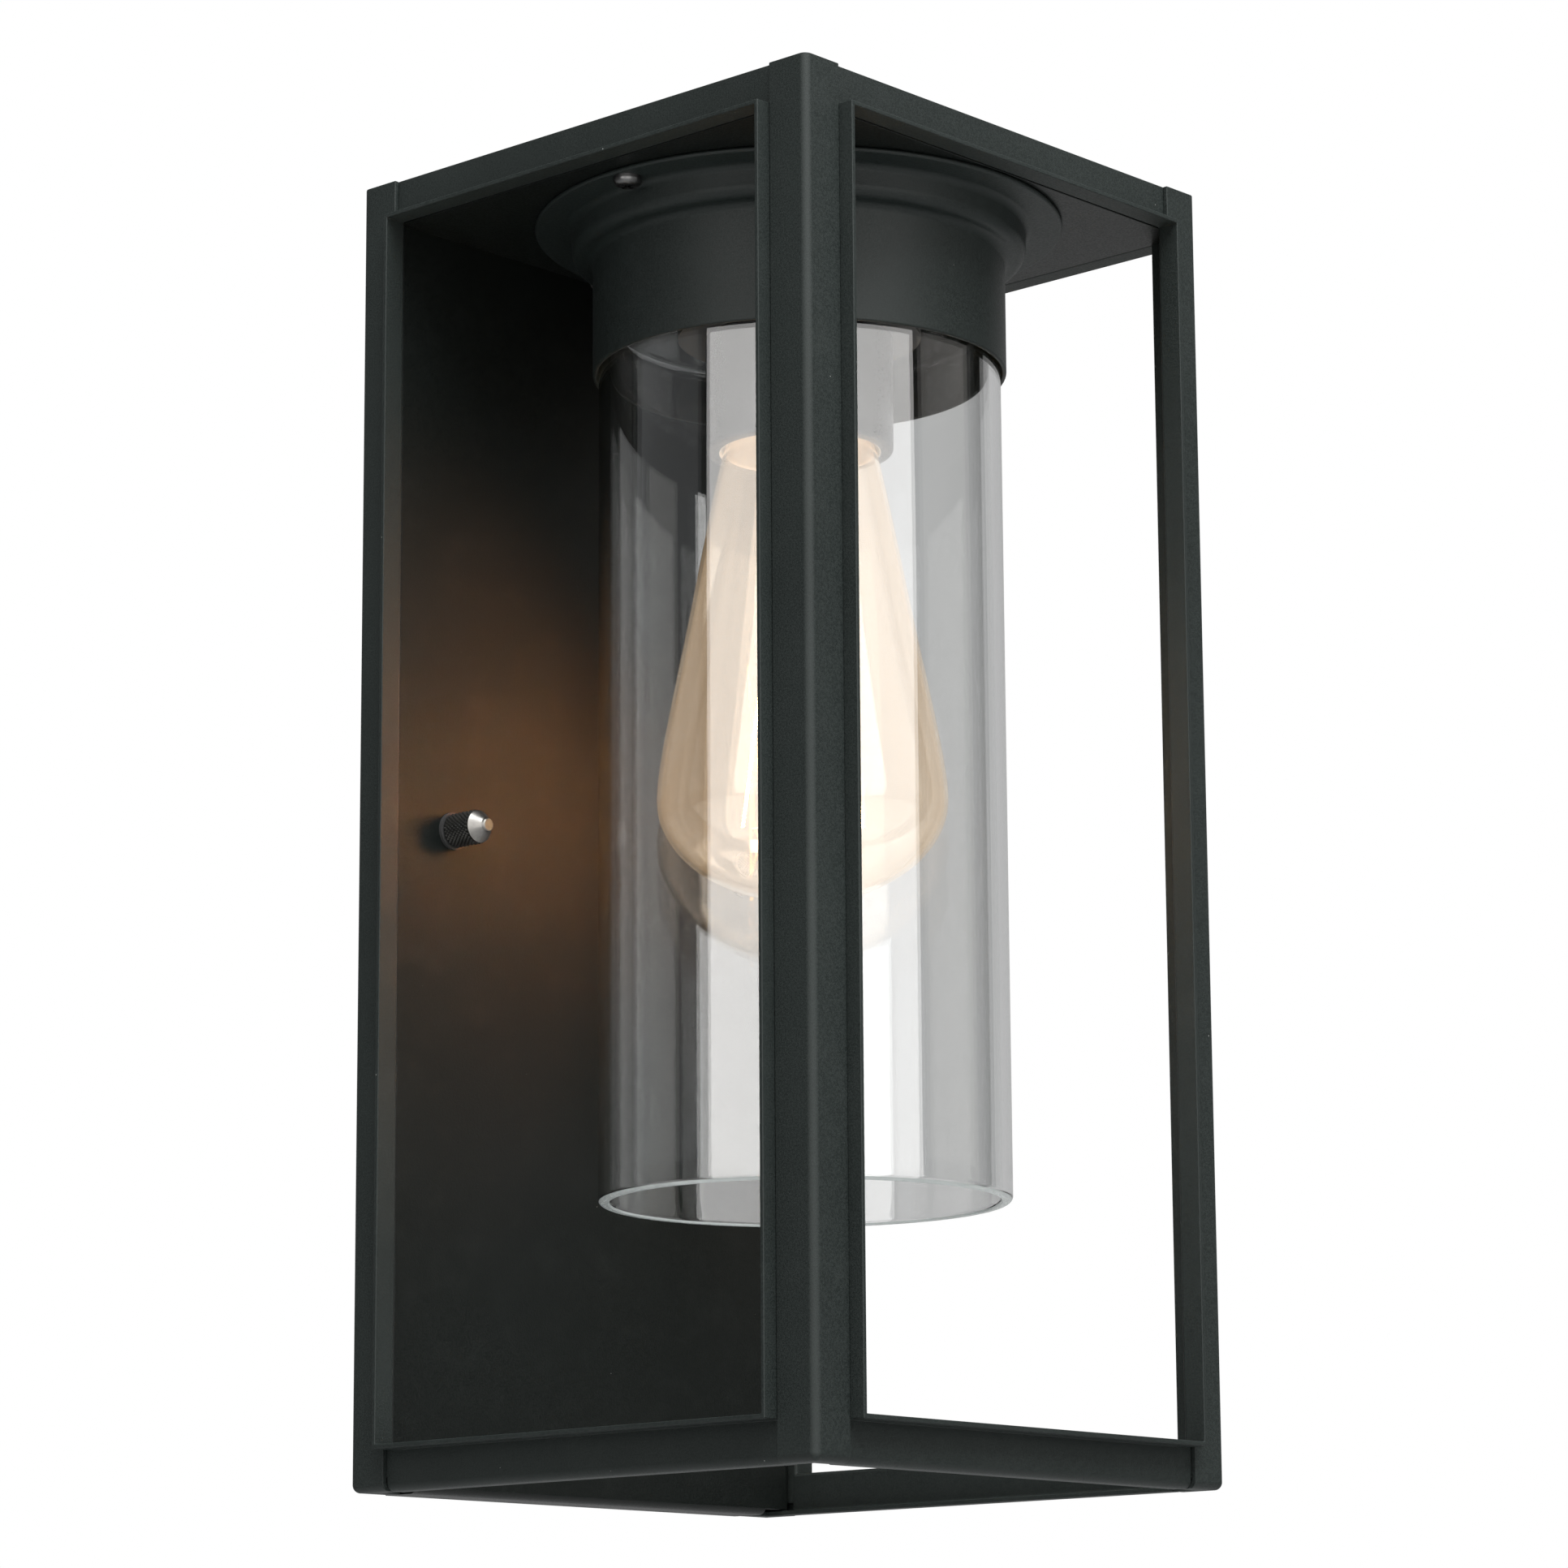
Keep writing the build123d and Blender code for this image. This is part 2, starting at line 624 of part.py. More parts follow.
def terminal_block():
    """The terminal block on the back of the pan, with two wire holes."""
    block_y = pan_inside + block_depth
    body = block(-block_width / 2, block_width / 2, pan_inside, block_y, block_foot,
                 block_foot + block_height)
    for x in (-wire_pitch / 2, wire_pitch / 2):
        body -= rod_z(wire_dia / 2, block_foot + block_height - wire_in_block,
                      block_foot + block_height + slack, x, -wire_back)
    return body


def tube(points, radii):
    """A wire along straight runs joined by tangent arcs."""
    path = FilletPolyline(*points, radius=radii)
    wire = sweep(Plane(path @ 0, z_dir=path % 0) * Circle(wire_dia / 2), path)
    expected = path.length * pi * wire_dia ** 2 / 4
    print("wire volume over section times length:", round(wire.volume / expected, 4), "radii", radii)
    return wire


def lamp_wire(x):
    """A wire from the lampholder over the ceiling and down behind the pan to the terminal block."""
    top_run = nipple_top + wire_bend
    return tube([
        (x, lamp_y, floor_z + holder_floor),
        (x, lamp_y, top_run),
        (x, -wire_back, grommet_z),
        (x, -wire_back, block_foot + block_height - wire_in_block),
    ], [wire_bend, wire_bend])


def earth_wire():
    """The short wire between the two earth screws."""
    start_y = -crossbar_sheet - earth_head_thick - wire_dia / 2
    end_y = pan_inside + earth_lug_thick + wire_dia / 2
    return tube([
        (earth_screw_x, start_y, -earth_head_dia / 2),
        (earth_screw_x, start_y, earth_lug_z * earth_wire_turns[0]),
        (earth_lug_x, end_y, earth_lug_z * earth_wire_turns[1]),
        (earth_lug_x, end_y, earth_lug_z - earth_head_dia / 2),
    ], [earth_wire_bend, earth_wire_bend])


def add(name, *shapes):
    """Keeps a node, one solid or a group of separate solids."""
    solids = [solid for shape in shapes for solid in shape.solids()]
    made[name] = solids[0] if len(solids) == 1 else Compound(solids)


def build_cage():
    """Posts, frames, pan, roof and ceiling."""
    skin = cage_skin()
    for name, side, front in (("post_front_left", -1, True), ("post_front_right", 1, True),
                              ("post_rear_left", -1, False), ("post_rear_right", 1, False)):
        add(name, post(skin, side, front))
    front = face_frame(-inner_x, inner_x, post_leg - half_w, half_w - post_leg)
    add("frame_front", Pos(0, frame_y, 0) * front)
    side = face_frame(post_sheet + corner_relief, cage_depth - post_sheet - corner_relief,
                      post_leg, cage_depth - post_leg)
    add("frame_left", Pos(-frame_x, 0, 0) * Rot(0, 0, -90) * side)
    mirrored = mirror(side, Plane.YZ)
    add("frame_right", Pos(frame_x, 0, 0) * Rot(0, 0, 90) * mirrored)
    relief = wall_fixing_relief()
    add("wall_pan", wall_pan(relief))
    add("roof_plate", roof_plate(relief))
    add("ceiling_plate", ceiling_plate())


def build_fixings():
    """Everything on the wall side."""
    add("crossbar", crossbar())
    add("studs", *studs())
    add("stud_lock_nuts", *stud_lock_nuts())
    add("earth_screws", *earth_screws())
    add("earth_lug", earth_lug())
    add("earth_wire", earth_wire())
    for name, x in (("left", -nut_spacing / 2), ("right", nut_spacing / 2)):
        add("knurled_nut_" + name, knurled_nut(x))
        add("sealing_washer_" + name, sealing_washer(x))
    add("wire_grommet", wire_grommet())
    add("terminal_block", terminal_block())


def build_lamp():
    """Fitter, glass and lampholder."""
    add("fitter_cup", fitter_cup())
    add("fitter_screws", *fitter_screws())
    add("threaded_nipple", nipple())
    add("nipple_nut", nipple_nut())
    add("lampholder_body", lampholder_body())
    add("lampholder_shell", lampholder_shell())
    add("lampholder_contact", lampholder_contact())
    add("glass_cylinder", glass_cylinder())
    hole = holder_radius + thread_play
    add("glass_gasket", ring(holder_radius + holder_flange, hole, glass_top, flange_z))
    ring_top = glass_top - glass_wall
    add("retaining_ring", ring(holder_radius + ring_reach, hole, ring_top - ring_thick, ring_top))
    add("live_wire", lamp_wire(-wire_pitch / 2))
    add("neutral_wire", lamp_wire(wire_pitch / 2))


def build_bulb():
    """The bulb and what it holds."""
    add("bulb_glass", bulb_glass())
    add("bulb_stem", bulb_stem())
    add("bulb_filament", bulb_filament())
    add("bulb_supports", bulb_supports())
    add("bulb_base", bulb_base())
    add("bulb_insulator", bulb_insulator())
    add("bulb_tip_contact", bulb_tip_contact())


build_cage()
build_fixings()
build_lamp()
build_bulb()
os.makedirs("parts", exist_ok=True)
for name, shape in made.items():
    export_step(shape, "parts/" + name + ".step")
print(len(made), "nodes written")
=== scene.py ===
import logging
import math
from dataclasses import dataclass, field
from enum import Enum
from typing import Any, Sequence

import bmesh
import bpy
from mathutils import Matrix, Vector


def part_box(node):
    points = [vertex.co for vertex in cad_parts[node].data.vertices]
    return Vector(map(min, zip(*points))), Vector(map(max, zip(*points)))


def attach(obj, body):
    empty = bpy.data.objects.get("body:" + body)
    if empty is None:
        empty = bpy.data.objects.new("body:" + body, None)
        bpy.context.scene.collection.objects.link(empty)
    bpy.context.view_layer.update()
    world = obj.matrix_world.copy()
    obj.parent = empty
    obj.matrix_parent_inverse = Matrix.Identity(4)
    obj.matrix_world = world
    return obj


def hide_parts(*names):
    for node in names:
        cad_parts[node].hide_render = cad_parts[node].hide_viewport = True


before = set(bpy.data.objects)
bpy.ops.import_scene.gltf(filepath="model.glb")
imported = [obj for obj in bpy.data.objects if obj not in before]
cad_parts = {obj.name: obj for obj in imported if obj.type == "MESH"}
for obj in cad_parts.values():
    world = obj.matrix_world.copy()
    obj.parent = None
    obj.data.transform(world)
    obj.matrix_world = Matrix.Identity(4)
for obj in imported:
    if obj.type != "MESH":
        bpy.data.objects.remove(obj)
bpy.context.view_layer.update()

# Looks of the outdoor wall lantern, in metres: wall at y = 0, lantern along -Y, +Z up, z = 0 at mid-height.

logging.basicConfig(level=logging.INFO, format="%(levelname)s %(message)s")
log = logging.getLogger("lantern")

MM = 0.001
SAME_PLACE = 1e-7
Outline = list[tuple[float, float]]
Profile = Sequence[tuple[float, float]]
Colour = tuple[float, float, float]


# ---- shader writing ---------------------------------------------------------------------------


class Signal:
    """A shader value that takes part in ordinary arithmetic."""

    def __init__(self, graph: "Graph", socket: bpy.types.NodeSocket) -> None:
        """Wraps an output socket of a graph."""
        self.graph = graph
        self.socket = socket

    def __add__(self, other: Any) -> "Signal":
        """Sum of two values."""
        return self.graph.maths("ADD", self, other)

    def __radd__(self, other: Any) -> "Signal":
        """Sum with a number on the left."""
        return self.graph.maths("ADD", other, self)

    def __sub__(self, other: Any) -> "Signal":
        """Difference of two values."""
        return self.graph.maths("SUBTRACT", self, other)

    def __rsub__(self, other: Any) -> "Signal":
        """Difference with a number on the left."""
        return self.graph.maths("SUBTRACT", other, self)

    def __mul__(self, other: Any) -> "Signal":
        """Product of two values."""
        return self.graph.maths("MULTIPLY", self, other)

    def __rmul__(self, other: Any) -> "Signal":
        """Product with a number on the left."""
        return self.graph.maths("MULTIPLY", other, self)

    def __gt__(self, other: Any) -> "Signal":
        """One where this value is greater."""
        return self.graph.maths("GREATER_THAN", self, other)

    def fit(self, low: float, high: float, to_low: float = 0.0, to_high: float = 1.0) -> "Signal":
        """Maps a span of values to another, clamped.

        Args:
            low: value that becomes to_low.
            high: value that becomes to_high.
            to_low: result at low.
            to_high: result at high.

        Returns:
            The mapped value.
        """
        node = self.graph.node("ShaderNodeMapRange", {"clamp": True}, {
            "Value": self, "From Min": low, "From Max": high, "To Min": to_low, "To Max": to_high})
        return Signal(self.graph, node.outputs[0])


class Graph:
    """One shader node tree while it is written."""

    def __init__(self, tree: bpy.types.NodeTree) -> None:
        """Empties the tree."""
        self.tree = tree
        tree.nodes.clear()

    def node(self, kind: str, settings: dict[str, Any], inputs: dict[str, Any]) -> bpy.types.Node:
        """Adds a node.

        Args:
            kind: node type.
            settings: properties of the node, set first.
            inputs: values or signals by socket name or identifier.

        Returns:
            The new node.
        """
        made = self.tree.nodes.new(kind)
        for key, value in settings.items():
            setattr(made, key, value)
        for key, value in inputs.items():
            self.feed(self.find(made, key), value)
        return made

    @staticmethod
    def find(node: bpy.types.Node, key: str) -> bpy.types.NodeSocket:
        """The input socket with this identifier, or else the enabled one with this name.

        Args:
            node: the node.
            key: identifier or name of the socket.

        Returns:
            The socket.
        """
        for socket in node.inputs:
            if socket.identifier == key:
                return socket
        return next(socket for socket in node.inputs if socket.name == key and socket.enabled)

    def feed(self, socket: bpy.types.NodeSocket, value: Any) -> None:
        """Links a signal to a socket, or sets its value.

        Args:
            socket: the input socket.
            value: a signal, a number, a vector, or a colour with or without its alpha.
        """
        if isinstance(value, Signal):
            self.tree.links.new(value.socket, socket)
        else:
            if isinstance(value, tuple) and socket.type == "RGBA" and len(value) == 3:
                value = (*value, 1.0)
            socket.default_value = value

    def maths(self, operation: str, first: Any, second: Any = 0.0) -> Signal:
        """A Math node on one or two values.

        Args:
            operation: name of the operation.
            first: number or signal.
            second: number or signal; left out where the operation takes one.

        Returns:
            The result.
        """
        node = self.node("ShaderNodeMath", {"operation": operation}, {})
        self.feed(node.inputs[0], first)
        self.feed(node.inputs[1], second)
        return Signal(self, node.outputs[0])

    def place(self) -> Signal:
        """The place of the shaded point, in metres."""
        return Signal(self, self.node("ShaderNodeTexCoord", {}, {}).outputs["Object"])

    def stretched(self, scale: tuple[float, float, float]) -> Signal:
        """The place of the shaded point, scaled along each axis.

        Args:
            scale: factor of X, Y and Z.

        Returns:
            The scaled place.
        """
        node = self.node("ShaderNodeVectorMath", {"operation": "MULTIPLY"}, {})
        self.feed(node.inputs[0], self.place())
        self.feed(node.inputs[1], scale)
        return Signal(self, node.outputs[0])

    def axis(self, name: str) -> Signal:
        """One coordinate of the shaded point: X, Y or Z."""
        node = self.node("ShaderNodeSeparateXYZ", {}, {"Vector": self.place()})
        return Signal(self, node.outputs[name])

    def noise(self, size: float, detail: float = 2.0, vector: Signal | None = None) -> Signal:
        """Smooth noise.

        Args:
            size: width of a typical feature in metres, or in units of vector.
            detail: number of finer layers.
            vector: where it is read; the object's own place if left out.

        Returns:
            A value from about 0.2 to 0.8.
        """
        node = self.node("ShaderNodeTexNoise", {"noise_dimensions": "3D"}, {
            "Vector": vector or self.place(), "Scale": 1.0 / size, "Detail": detail, "Roughness": 0.55})
        return Signal(self, node.outputs[0])

    def specks(self, spacing: float, radius: float) -> Signal:
        """Sparse round specks.

        Args:
            spacing: mean distance between specks in metres.
            radius: radius of the largest speck as a part of the spacing.

        Returns:
            One inside a speck, zero outside.
        """
        cells = self.node("ShaderNodeTexVoronoi", {"feature": "F1"}, {
            "Vector": self.place(), "Scale": 1.0 / spacing, "Randomness": 1.0})
        chance = self.node("ShaderNodeSeparateColor", {}, {
            "Color": Signal(self, cells.outputs["Color"])})
        size = Signal(self, chance.outputs[0]).fit(0.6, 1.0, 0.0, radius)
        return size > Signal(self, cells.outputs["Distance"])

    def blend(self, factor: Any, first: Any, second: Any) -> Signal:
        """A colour between two others."""
        node = self.node("ShaderNodeMix", {"data_type": "RGBA"}, {
            "Factor_Float": factor, "A_Color": first, "B_Color": second})
        return Signal(self, node.outputs[2])

    def relief(self, height: Signal, depth: float, strength: float = 1.0) -> Signal:
        """A normal bent by a height.

        Args:
            height: height from 0 to 1.
            depth: real depth in metres of a height of 1.
            strength: share of the effect.

        Returns:
            The normal.
        """
        node = self.node("ShaderNodeBump", {}, {
            "Height": height, "Distance": depth, "Strength": strength})
        return Signal(self, node.outputs[0])

    def surface(self, **inputs: Any) -> Signal:
        """A Principled shader; underscores in the names stand for spaces."""
        node = self.node("ShaderNodeBsdfPrincipled", {}, {
            key.replace("_", " "): value for key, value in inputs.items()})
        return Signal(self, node.outputs[0])

    def output(self, shader: Signal) -> None:
        """Ends the tree."""
        self.node("ShaderNodeOutputMaterial", {}, {"Surface": shader})


# ---- finishes ---------------------------------------------------------------------------------


@dataclass(frozen=True)
class Finish:
    """What every finish has: a name and a material made once."""

    name: str

    def material(self) -> bpy.types.Material:
        """The material of this finish."""
        made = bpy.data.materials.get(self.name)
        if made is None:
            made = bpy.data.materials.new(self.name)
            made.use_nodes = True
            graph = Graph(made.node_tree)
            graph.output(self.shader(graph))
        return made

    def shader(self, graph: Graph) -> Signal:
        """Writes the shader.

        Args:
            graph: the empty tree of the material.

        Returns:
            The shader, ready for the output.
        """
        raise NotImplementedError


@dataclass(frozen=True)
class PowderCoat(Finish):
    """Fine-textured powder coating on sheet metal, with a little dust on it."""

    dark: Colour = (0.0054, 0.0080, 0.0074)
    light: Colour = (0.0124, 0.0164, 0.0152)
    dust: Colour = (0.05, 0.054, 0.052)
    mote: Colour = (0.42, 0.43, 0.41)
    roughness: float = 0.47
    gleam: float = 0.17
    grain: float = 0.42 * MM
    grain_depth: float = 0.045 * MM
    cloud: float = 45 * MM
    film_patch: float = 9 * MM
    mote_spacing: float = 5.5 * MM
    mote_radius: float = 0.026

    def shader(self, graph: Graph) -> Signal:
        """Clouds and grain in the coat, with a thin film of dust and a few motes on it."""
        clouds = graph.noise(self.cloud, 3.0)
        fine = graph.noise(self.grain, 1.0)
        mottle = clouds.fit(0.3, 0.7) * 0.35 + fine.fit(0.35, 0.65) * 0.65
        film = graph.noise(self.film_patch, 4.0).fit(0.52, 0.78) * 0.04
        motes = graph.specks(self.mote_spacing, self.mote_radius)
        colour = graph.blend(mottle, self.dark, self.light)
        colour = graph.blend(film, colour, self.dust)
        colour = graph.blend(motes * 0.55, colour, self.mote)
        rough = fine.fit(0.3, 0.7, self.roughness - 0.07, self.roughness + 0.07)
        rough = rough + film * 0.5
        height = fine + graph.noise(self.grain * 2.4, 1.0) * 0.7
        return graph.surface(
            Base_Color=colour, Roughness=rough, Specular_IOR_Level=self.gleam,
            Normal=graph.relief(height, self.grain_depth, 0.55))


@dataclass(frozen=True)
class SeeThrough(Finish):
    """Glass that lets light through to what it encloses.

    Its colour wanders between tint and deep, and turns to edge where it is seen aslant. Sheen colours the
    reflections, and painted_glow is a faint light painted onto the glass itself, which is no lamp.
    """

    tint: Colour = (0.985, 0.99, 0.99)
    deep: Colour = (0.97, 0.98, 0.98)
    sheen: Colour = (1.0, 1.0, 1.0)
    painted_glow: Colour = (0.0, 0.0, 0.0)
    edge: Colour = (0.96, 0.97, 0.97)
    ior: float = 1.6
    wave: float = 14 * MM
    wave_depth: float = 0.002 * MM

    def shader(self, graph: Graph) -> Signal:
        """Refracting glass for what is seen, plain tinted passage for shadows and bounced light."""
        across, along = 1 / self.wave, 0.1 / self.wave
        streaks = graph.noise(1.0, 2.0, graph.stretched((across, across, along)))
        colour = graph.blend(streaks.fit(0.3, 0.7), self.tint, self.deep)
        slant = Signal(graph, graph.node("ShaderNodeLayerWeight", {}, {"Blend": 0.5}).outputs["Facing"])
        colour = graph.blend(slant.fit(0.45, 0.95), colour, self.edge)
        # The emission gives the glass a painted glow.
        glass = graph.surface(
            Base_Color=colour, Roughness=0.0, IOR=self.ior, Transmission_Weight=1.0, Specular_Tint=self.sheen,
            Emission_Color=self.painted_glow, Emission_Strength=1.0,
            Normal=graph.relief(streaks, self.wave_depth, 0.5))
        clear = Signal(graph, graph.node("ShaderNodeBsdfTransparent", {}, {"Color": self.tint}).outputs[0])
        light = graph.node("ShaderNodeLightPath", {}, {})
        passing = graph.maths("MAXIMUM", Signal(graph, light.outputs["Is Shadow Ray"]),
                              Signal(graph, light.outputs["Is Diffuse Ray"]))
        node = graph.node("ShaderNodeMixShader", {}, {"Fac": passing})
        graph.feed(node.inputs[1], glass)
        graph.feed(node.inputs[2], clear)
        return Signal(graph, node.outputs[0])


@dataclass(frozen=True)
class Metal(Finish):
    """Plated or bare metal with fine wear."""

    base: Colour = (0.6, 0.6, 0.6)
    stain: Colour = (0.4, 0.4, 0.4)
    roughness: float = 0.35
    scratch: float = 0.8 * MM
    relief: float = 0.01 * MM

    def shader(self, graph: Graph) -> Signal:
        """Metal with clouded wear and fine scratches."""
        cloud = graph.noise(self.scratch * 5, 3.0).fit(0.35, 0.7)
        fine = graph.noise(self.scratch, 2.0)
        rough = cloud * 0.12 + fine.fit(0.3, 0.7, self.roughness - 0.05, self.roughness + 0.05)
        return graph.surface(
            Base_Color=graph.blend(cloud, self.base, self.stain), Metallic=1.0, Roughness=rough,
            Normal=graph.relief(fine, self.relief, 0.4))


@dataclass(frozen=True)
class Moulded(Finish):
    """Rubber, plastic, ceramic, insulation, or the pale painted highlight on the glass rim: one colour with a
    fine texture.
    """

    base: Colour = (0.02, 0.02, 0.02)
    shade: Colour = (0.03, 0.03, 0.03)
    roughness: float = 0.55
    grain: float = 0.35 * MM
    relief: float = 0.02 * MM

    def shader(self, graph: Graph) -> Signal:
        """One slightly clouded colour with a fine grain."""
        fine = graph.noise(self.grain, 2.0)
        cloud = graph.noise(self.grain * 14, 2.0).fit(0.3, 0.7)
        return graph.surface(
            Base_Color=graph.blend(cloud, self.base, self.shade),
            Roughness=fine.fit(0.3, 0.7, self.roughness - 0.06, self.roughness + 0.06),
            Normal=graph.relief(fine, self.relief, 0.4))


@dataclass(frozen=True)
class TwoColourInsulation(Finish):
    """Green insulation with a yellow stripe round it."""

    green: Colour = (0.03, 0.22, 0.05)
    yellow: Colour = (0.75, 0.6, 0.03)
    pitch: float = 5 * MM
    green_share: float = 0.6
    grain: float = 0.5 * MM

    def shader(self, graph: Graph) -> Signal:
        """A yellow stripe that climbs as it goes round."""
        turn = graph.maths("FRACT", graph.axis("Z") * (1 / self.pitch) + graph.axis("X") * (2 / self.pitch))
        colour = graph.blend(turn > self.green_share, self.green, self.yellow)
        fine = graph.noise(self.grain, 1.0)
        return graph.surface(Base_Color=colour, Roughness=fine.fit(0.3, 0.7, 0.36, 0.46))


@dataclass(frozen=True)
class Glowing(Finish):
    """Hot wire, brighter in patches along its length."""

    colour: Colour = (1.0, 0.52, 0.16)
    hotter: Colour = (1.0, 0.62, 0.25)
    wire: Colour = (0.05, 0.04, 0.03)
    strength: float = 60.0
    patch: float = 6 * MM

    def shader(self, graph: Graph) -> Signal:
        """Dark wire that gives off light."""
        patch = graph.noise(self.patch, 2.0).fit(0.3, 0.7)
        hot = graph.blend(patch, self.colour, self.hotter)
        return graph.surface(
            Base_Color=self.wire, Roughness=0.6, Emission_Color=hot, Emission_Strength=self.strength)


@dataclass(frozen=True)
class Plain(Finish):
    """One flat pale colour for the floor, lifted by a little light of its own."""

    base: Colour = (0.8, 0.8, 0.8)
    lift: float = 0.24

    def shader(self, graph: Graph) -> Signal:
        """One colour, matt and faintly lit from itself."""
        return graph.surface(Base_Color=self.base, Roughness=0.9, Emission_Color=self.base,
                             Emission_Strength=self.lift)


COAT = PowderCoat("powder_coat_black", roughness=0.57)
# A darker, less glossy copy of the black coat for the wall pan and ceiling: painted shade for the lantern's
# dim inside, not a second paint.
SHADED_INNER_COAT = PowderCoat("powder_coat_inner_painted_shade", dark=(0.0024, 0.0036, 0.0031), light=(0.0052, 0.0066, 0.0060),
                        roughness=0.42, gleam=0.13)
CUP_COAT = PowderCoat("powder_coat_cup", roughness=0.5)
CLEAR = SeeThrough("glass_clear")
# The amber bulb glass gets a faint painted glow as emission.
AMBER = SeeThrough("glass_amber", tint=(0.955, 0.905, 0.845), deep=(0.93, 0.87, 0.80), wave=9 * MM,
                   sheen=(0.56, 0.51, 0.45), painted_glow=(0.075, 0.056, 0.037), edge=(0.82, 0.66, 0.45), ior=1.75)
STEM = SeeThrough("glass_stem", tint=(0.97, 0.97, 0.96), deep=(0.95, 0.95, 0.94), wave=4 * MM)
BLACK_GLASS = Moulded("glass_black", base=(0.006, 0.006, 0.008), shade=(0.01, 0.01, 0.012), roughness=0.12)
NUT_TIP = Metal("nut_tip_nickel", base=(0.17, 0.165, 0.155), stain=(0.12, 0.115, 0.11), roughness=0.32)
NUT_BLACK = Metal("nut_black_nickel", base=(0.018, 0.018, 0.017), stain=(0.012, 0.012, 0.011), roughness=0.36)
SCREW_BLACK = Metal("screw_black_zinc", base=(0.10, 0.10, 0.10), stain=(0.05, 0.05, 0.05), roughness=0.3)
ZINC = Metal("zinc_plate", base=(0.62, 0.63, 0.62), stain=(0.42, 0.43, 0.42), roughness=0.36)
NICKEL = Metal("cap_nickel", base=(0.68, 0.64, 0.56), stain=(0.52, 0.47, 0.38), roughness=0.24)
BRASS = Metal("contact_brass", base=(0.78, 0.58, 0.28), stain=(0.50, 0.35, 0.16), roughness=0.3)
SOLDER = Metal("solder", base=(0.55, 0.55, 0.54), stain=(0.35, 0.35, 0.34), roughness=0.42)
COPPER = Metal("tinned_copper", base=(0.66, 0.52, 0.42), stain=(0.5, 0.36, 0.26), roughness=0.35)
WIRE_STEEL = Metal("support_steel", base=(0.45, 0.43, 0.40), stain=(0.30, 0.28, 0.25), roughness=0.4)
GREEN_ZINC = Metal("earth_green", base=(0.10, 0.30, 0.14), stain=(0.05, 0.18, 0.07), roughness=0.4)
CERAMIC = Moulded("holder_ceramic", base=(0.66, 0.64, 0.60), shade=(0.56, 0.54, 0.50), roughness=0.4)
HOLDER = Moulded("holder_black", base=(0.020, 0.020, 0.022), shade=(0.028, 0.028, 0.03), roughness=0.3)
RUBBER = Moulded("rubber_black", base=(0.008, 0.008, 0.008), shade=(0.012, 0.012, 0.012), roughness=0.7)
# A pale opaque colour for the foot of the glass rim: a painted highlight.
PAINTED_RIM_HIGHLIGHT = Moulded("glass_rim_painted_highlight", base=(0.50, 0.53, 0.52), shade=(0.42, 0.45, 0.44), roughness=0.25)
BAKELITE = Moulded("ring_black", base=(0.03, 0.03, 0.03), shade=(0.045, 0.045, 0.045), roughness=0.35)
BLOCK = Moulded("terminal_white", base=(0.72, 0.71, 0.66), shade=(0.62, 0.61, 0.56), roughness=0.45)
BROWN = Moulded("insulation_brown", base=(0.16, 0.07, 0.03), shade=(0.12, 0.05, 0.02), roughness=0.4)
BLUE = Moulded("insulation_blue", base=(0.03, 0.12, 0.38), shade=(0.02, 0.09, 0.3), roughness=0.4)
EARTH = TwoColourInsulation("insulation_earth")
GLOW = Glowing("filament_hot")
FLOOR = Plain("floor_pale")


# ---- mesh writing -----------------------------------------------------------------------------


class Facing(Enum):
    """Which way the axis of a turned piece points."""

    UP = "up"
    OUT = "out"


def placed(facing: Facing, centre: Vector) -> Matrix:
    """The matrix from a piece drawn about Z to its place.

    Args:
        facing: where the axis of the piece shall point.
        centre: where its origin shall lie.

    Returns:
        The matrix.
    """
    turn = Matrix.Identity(4) if facing is Facing.UP else Matrix.Rotation(math.radians(90), 4, "X")
    return Matrix.Translation(centre) @ turn


def arc(centre: tuple[float, float], radius: float, start: float, end: float, steps: int) -> Outline:
    """Points along a circular arc.

    Args:
        centre: centre, as radius and height.
        radius: radius of the arc.
        start: first angle in degrees.
        end: last angle in degrees.
        steps: number of spans.

    Returns:
        Points from start to end.
    """
    angles = [math.radians(start + (end - start) * step / steps) for step in range(steps + 1)]
    return [(centre[0] + radius * math.cos(a), centre[1] + radius * math.sin(a)) for a in angles]


def flowing(points: Profile, steps: int) -> Outline:
    """A smooth line through points.

    Args:
        points: the points, as radius and height.
        steps: spans between two points.

    Returns:
        Points along the line.
    """
    line = [Vector(point) for point in points]
    slopes = [(line[min(i + 1, len(line) - 1)] - line[max(i - 1, 0)]) / 2 for i in range(len(line))]
    slopes[0] = Vector((0.0, slopes[0].length * 1.1))
    slopes[-1] = Vector((0.0, slopes[-1].length * 0.9))
    found = []
    for i in range(len(line) - 1):
        for step in range(steps):
            t = step / steps
            found.append(tuple(
                line[i] * (2 * t ** 3 - 3 * t ** 2 + 1) + slopes[i] * (t ** 3 - 2 * t ** 2 + t)
                + line[i + 1] * (3 * t ** 2 - 2 * t ** 3) + slopes[i + 1] * (t ** 3 - t ** 2)))
    return found + [tuple(line[-1])]


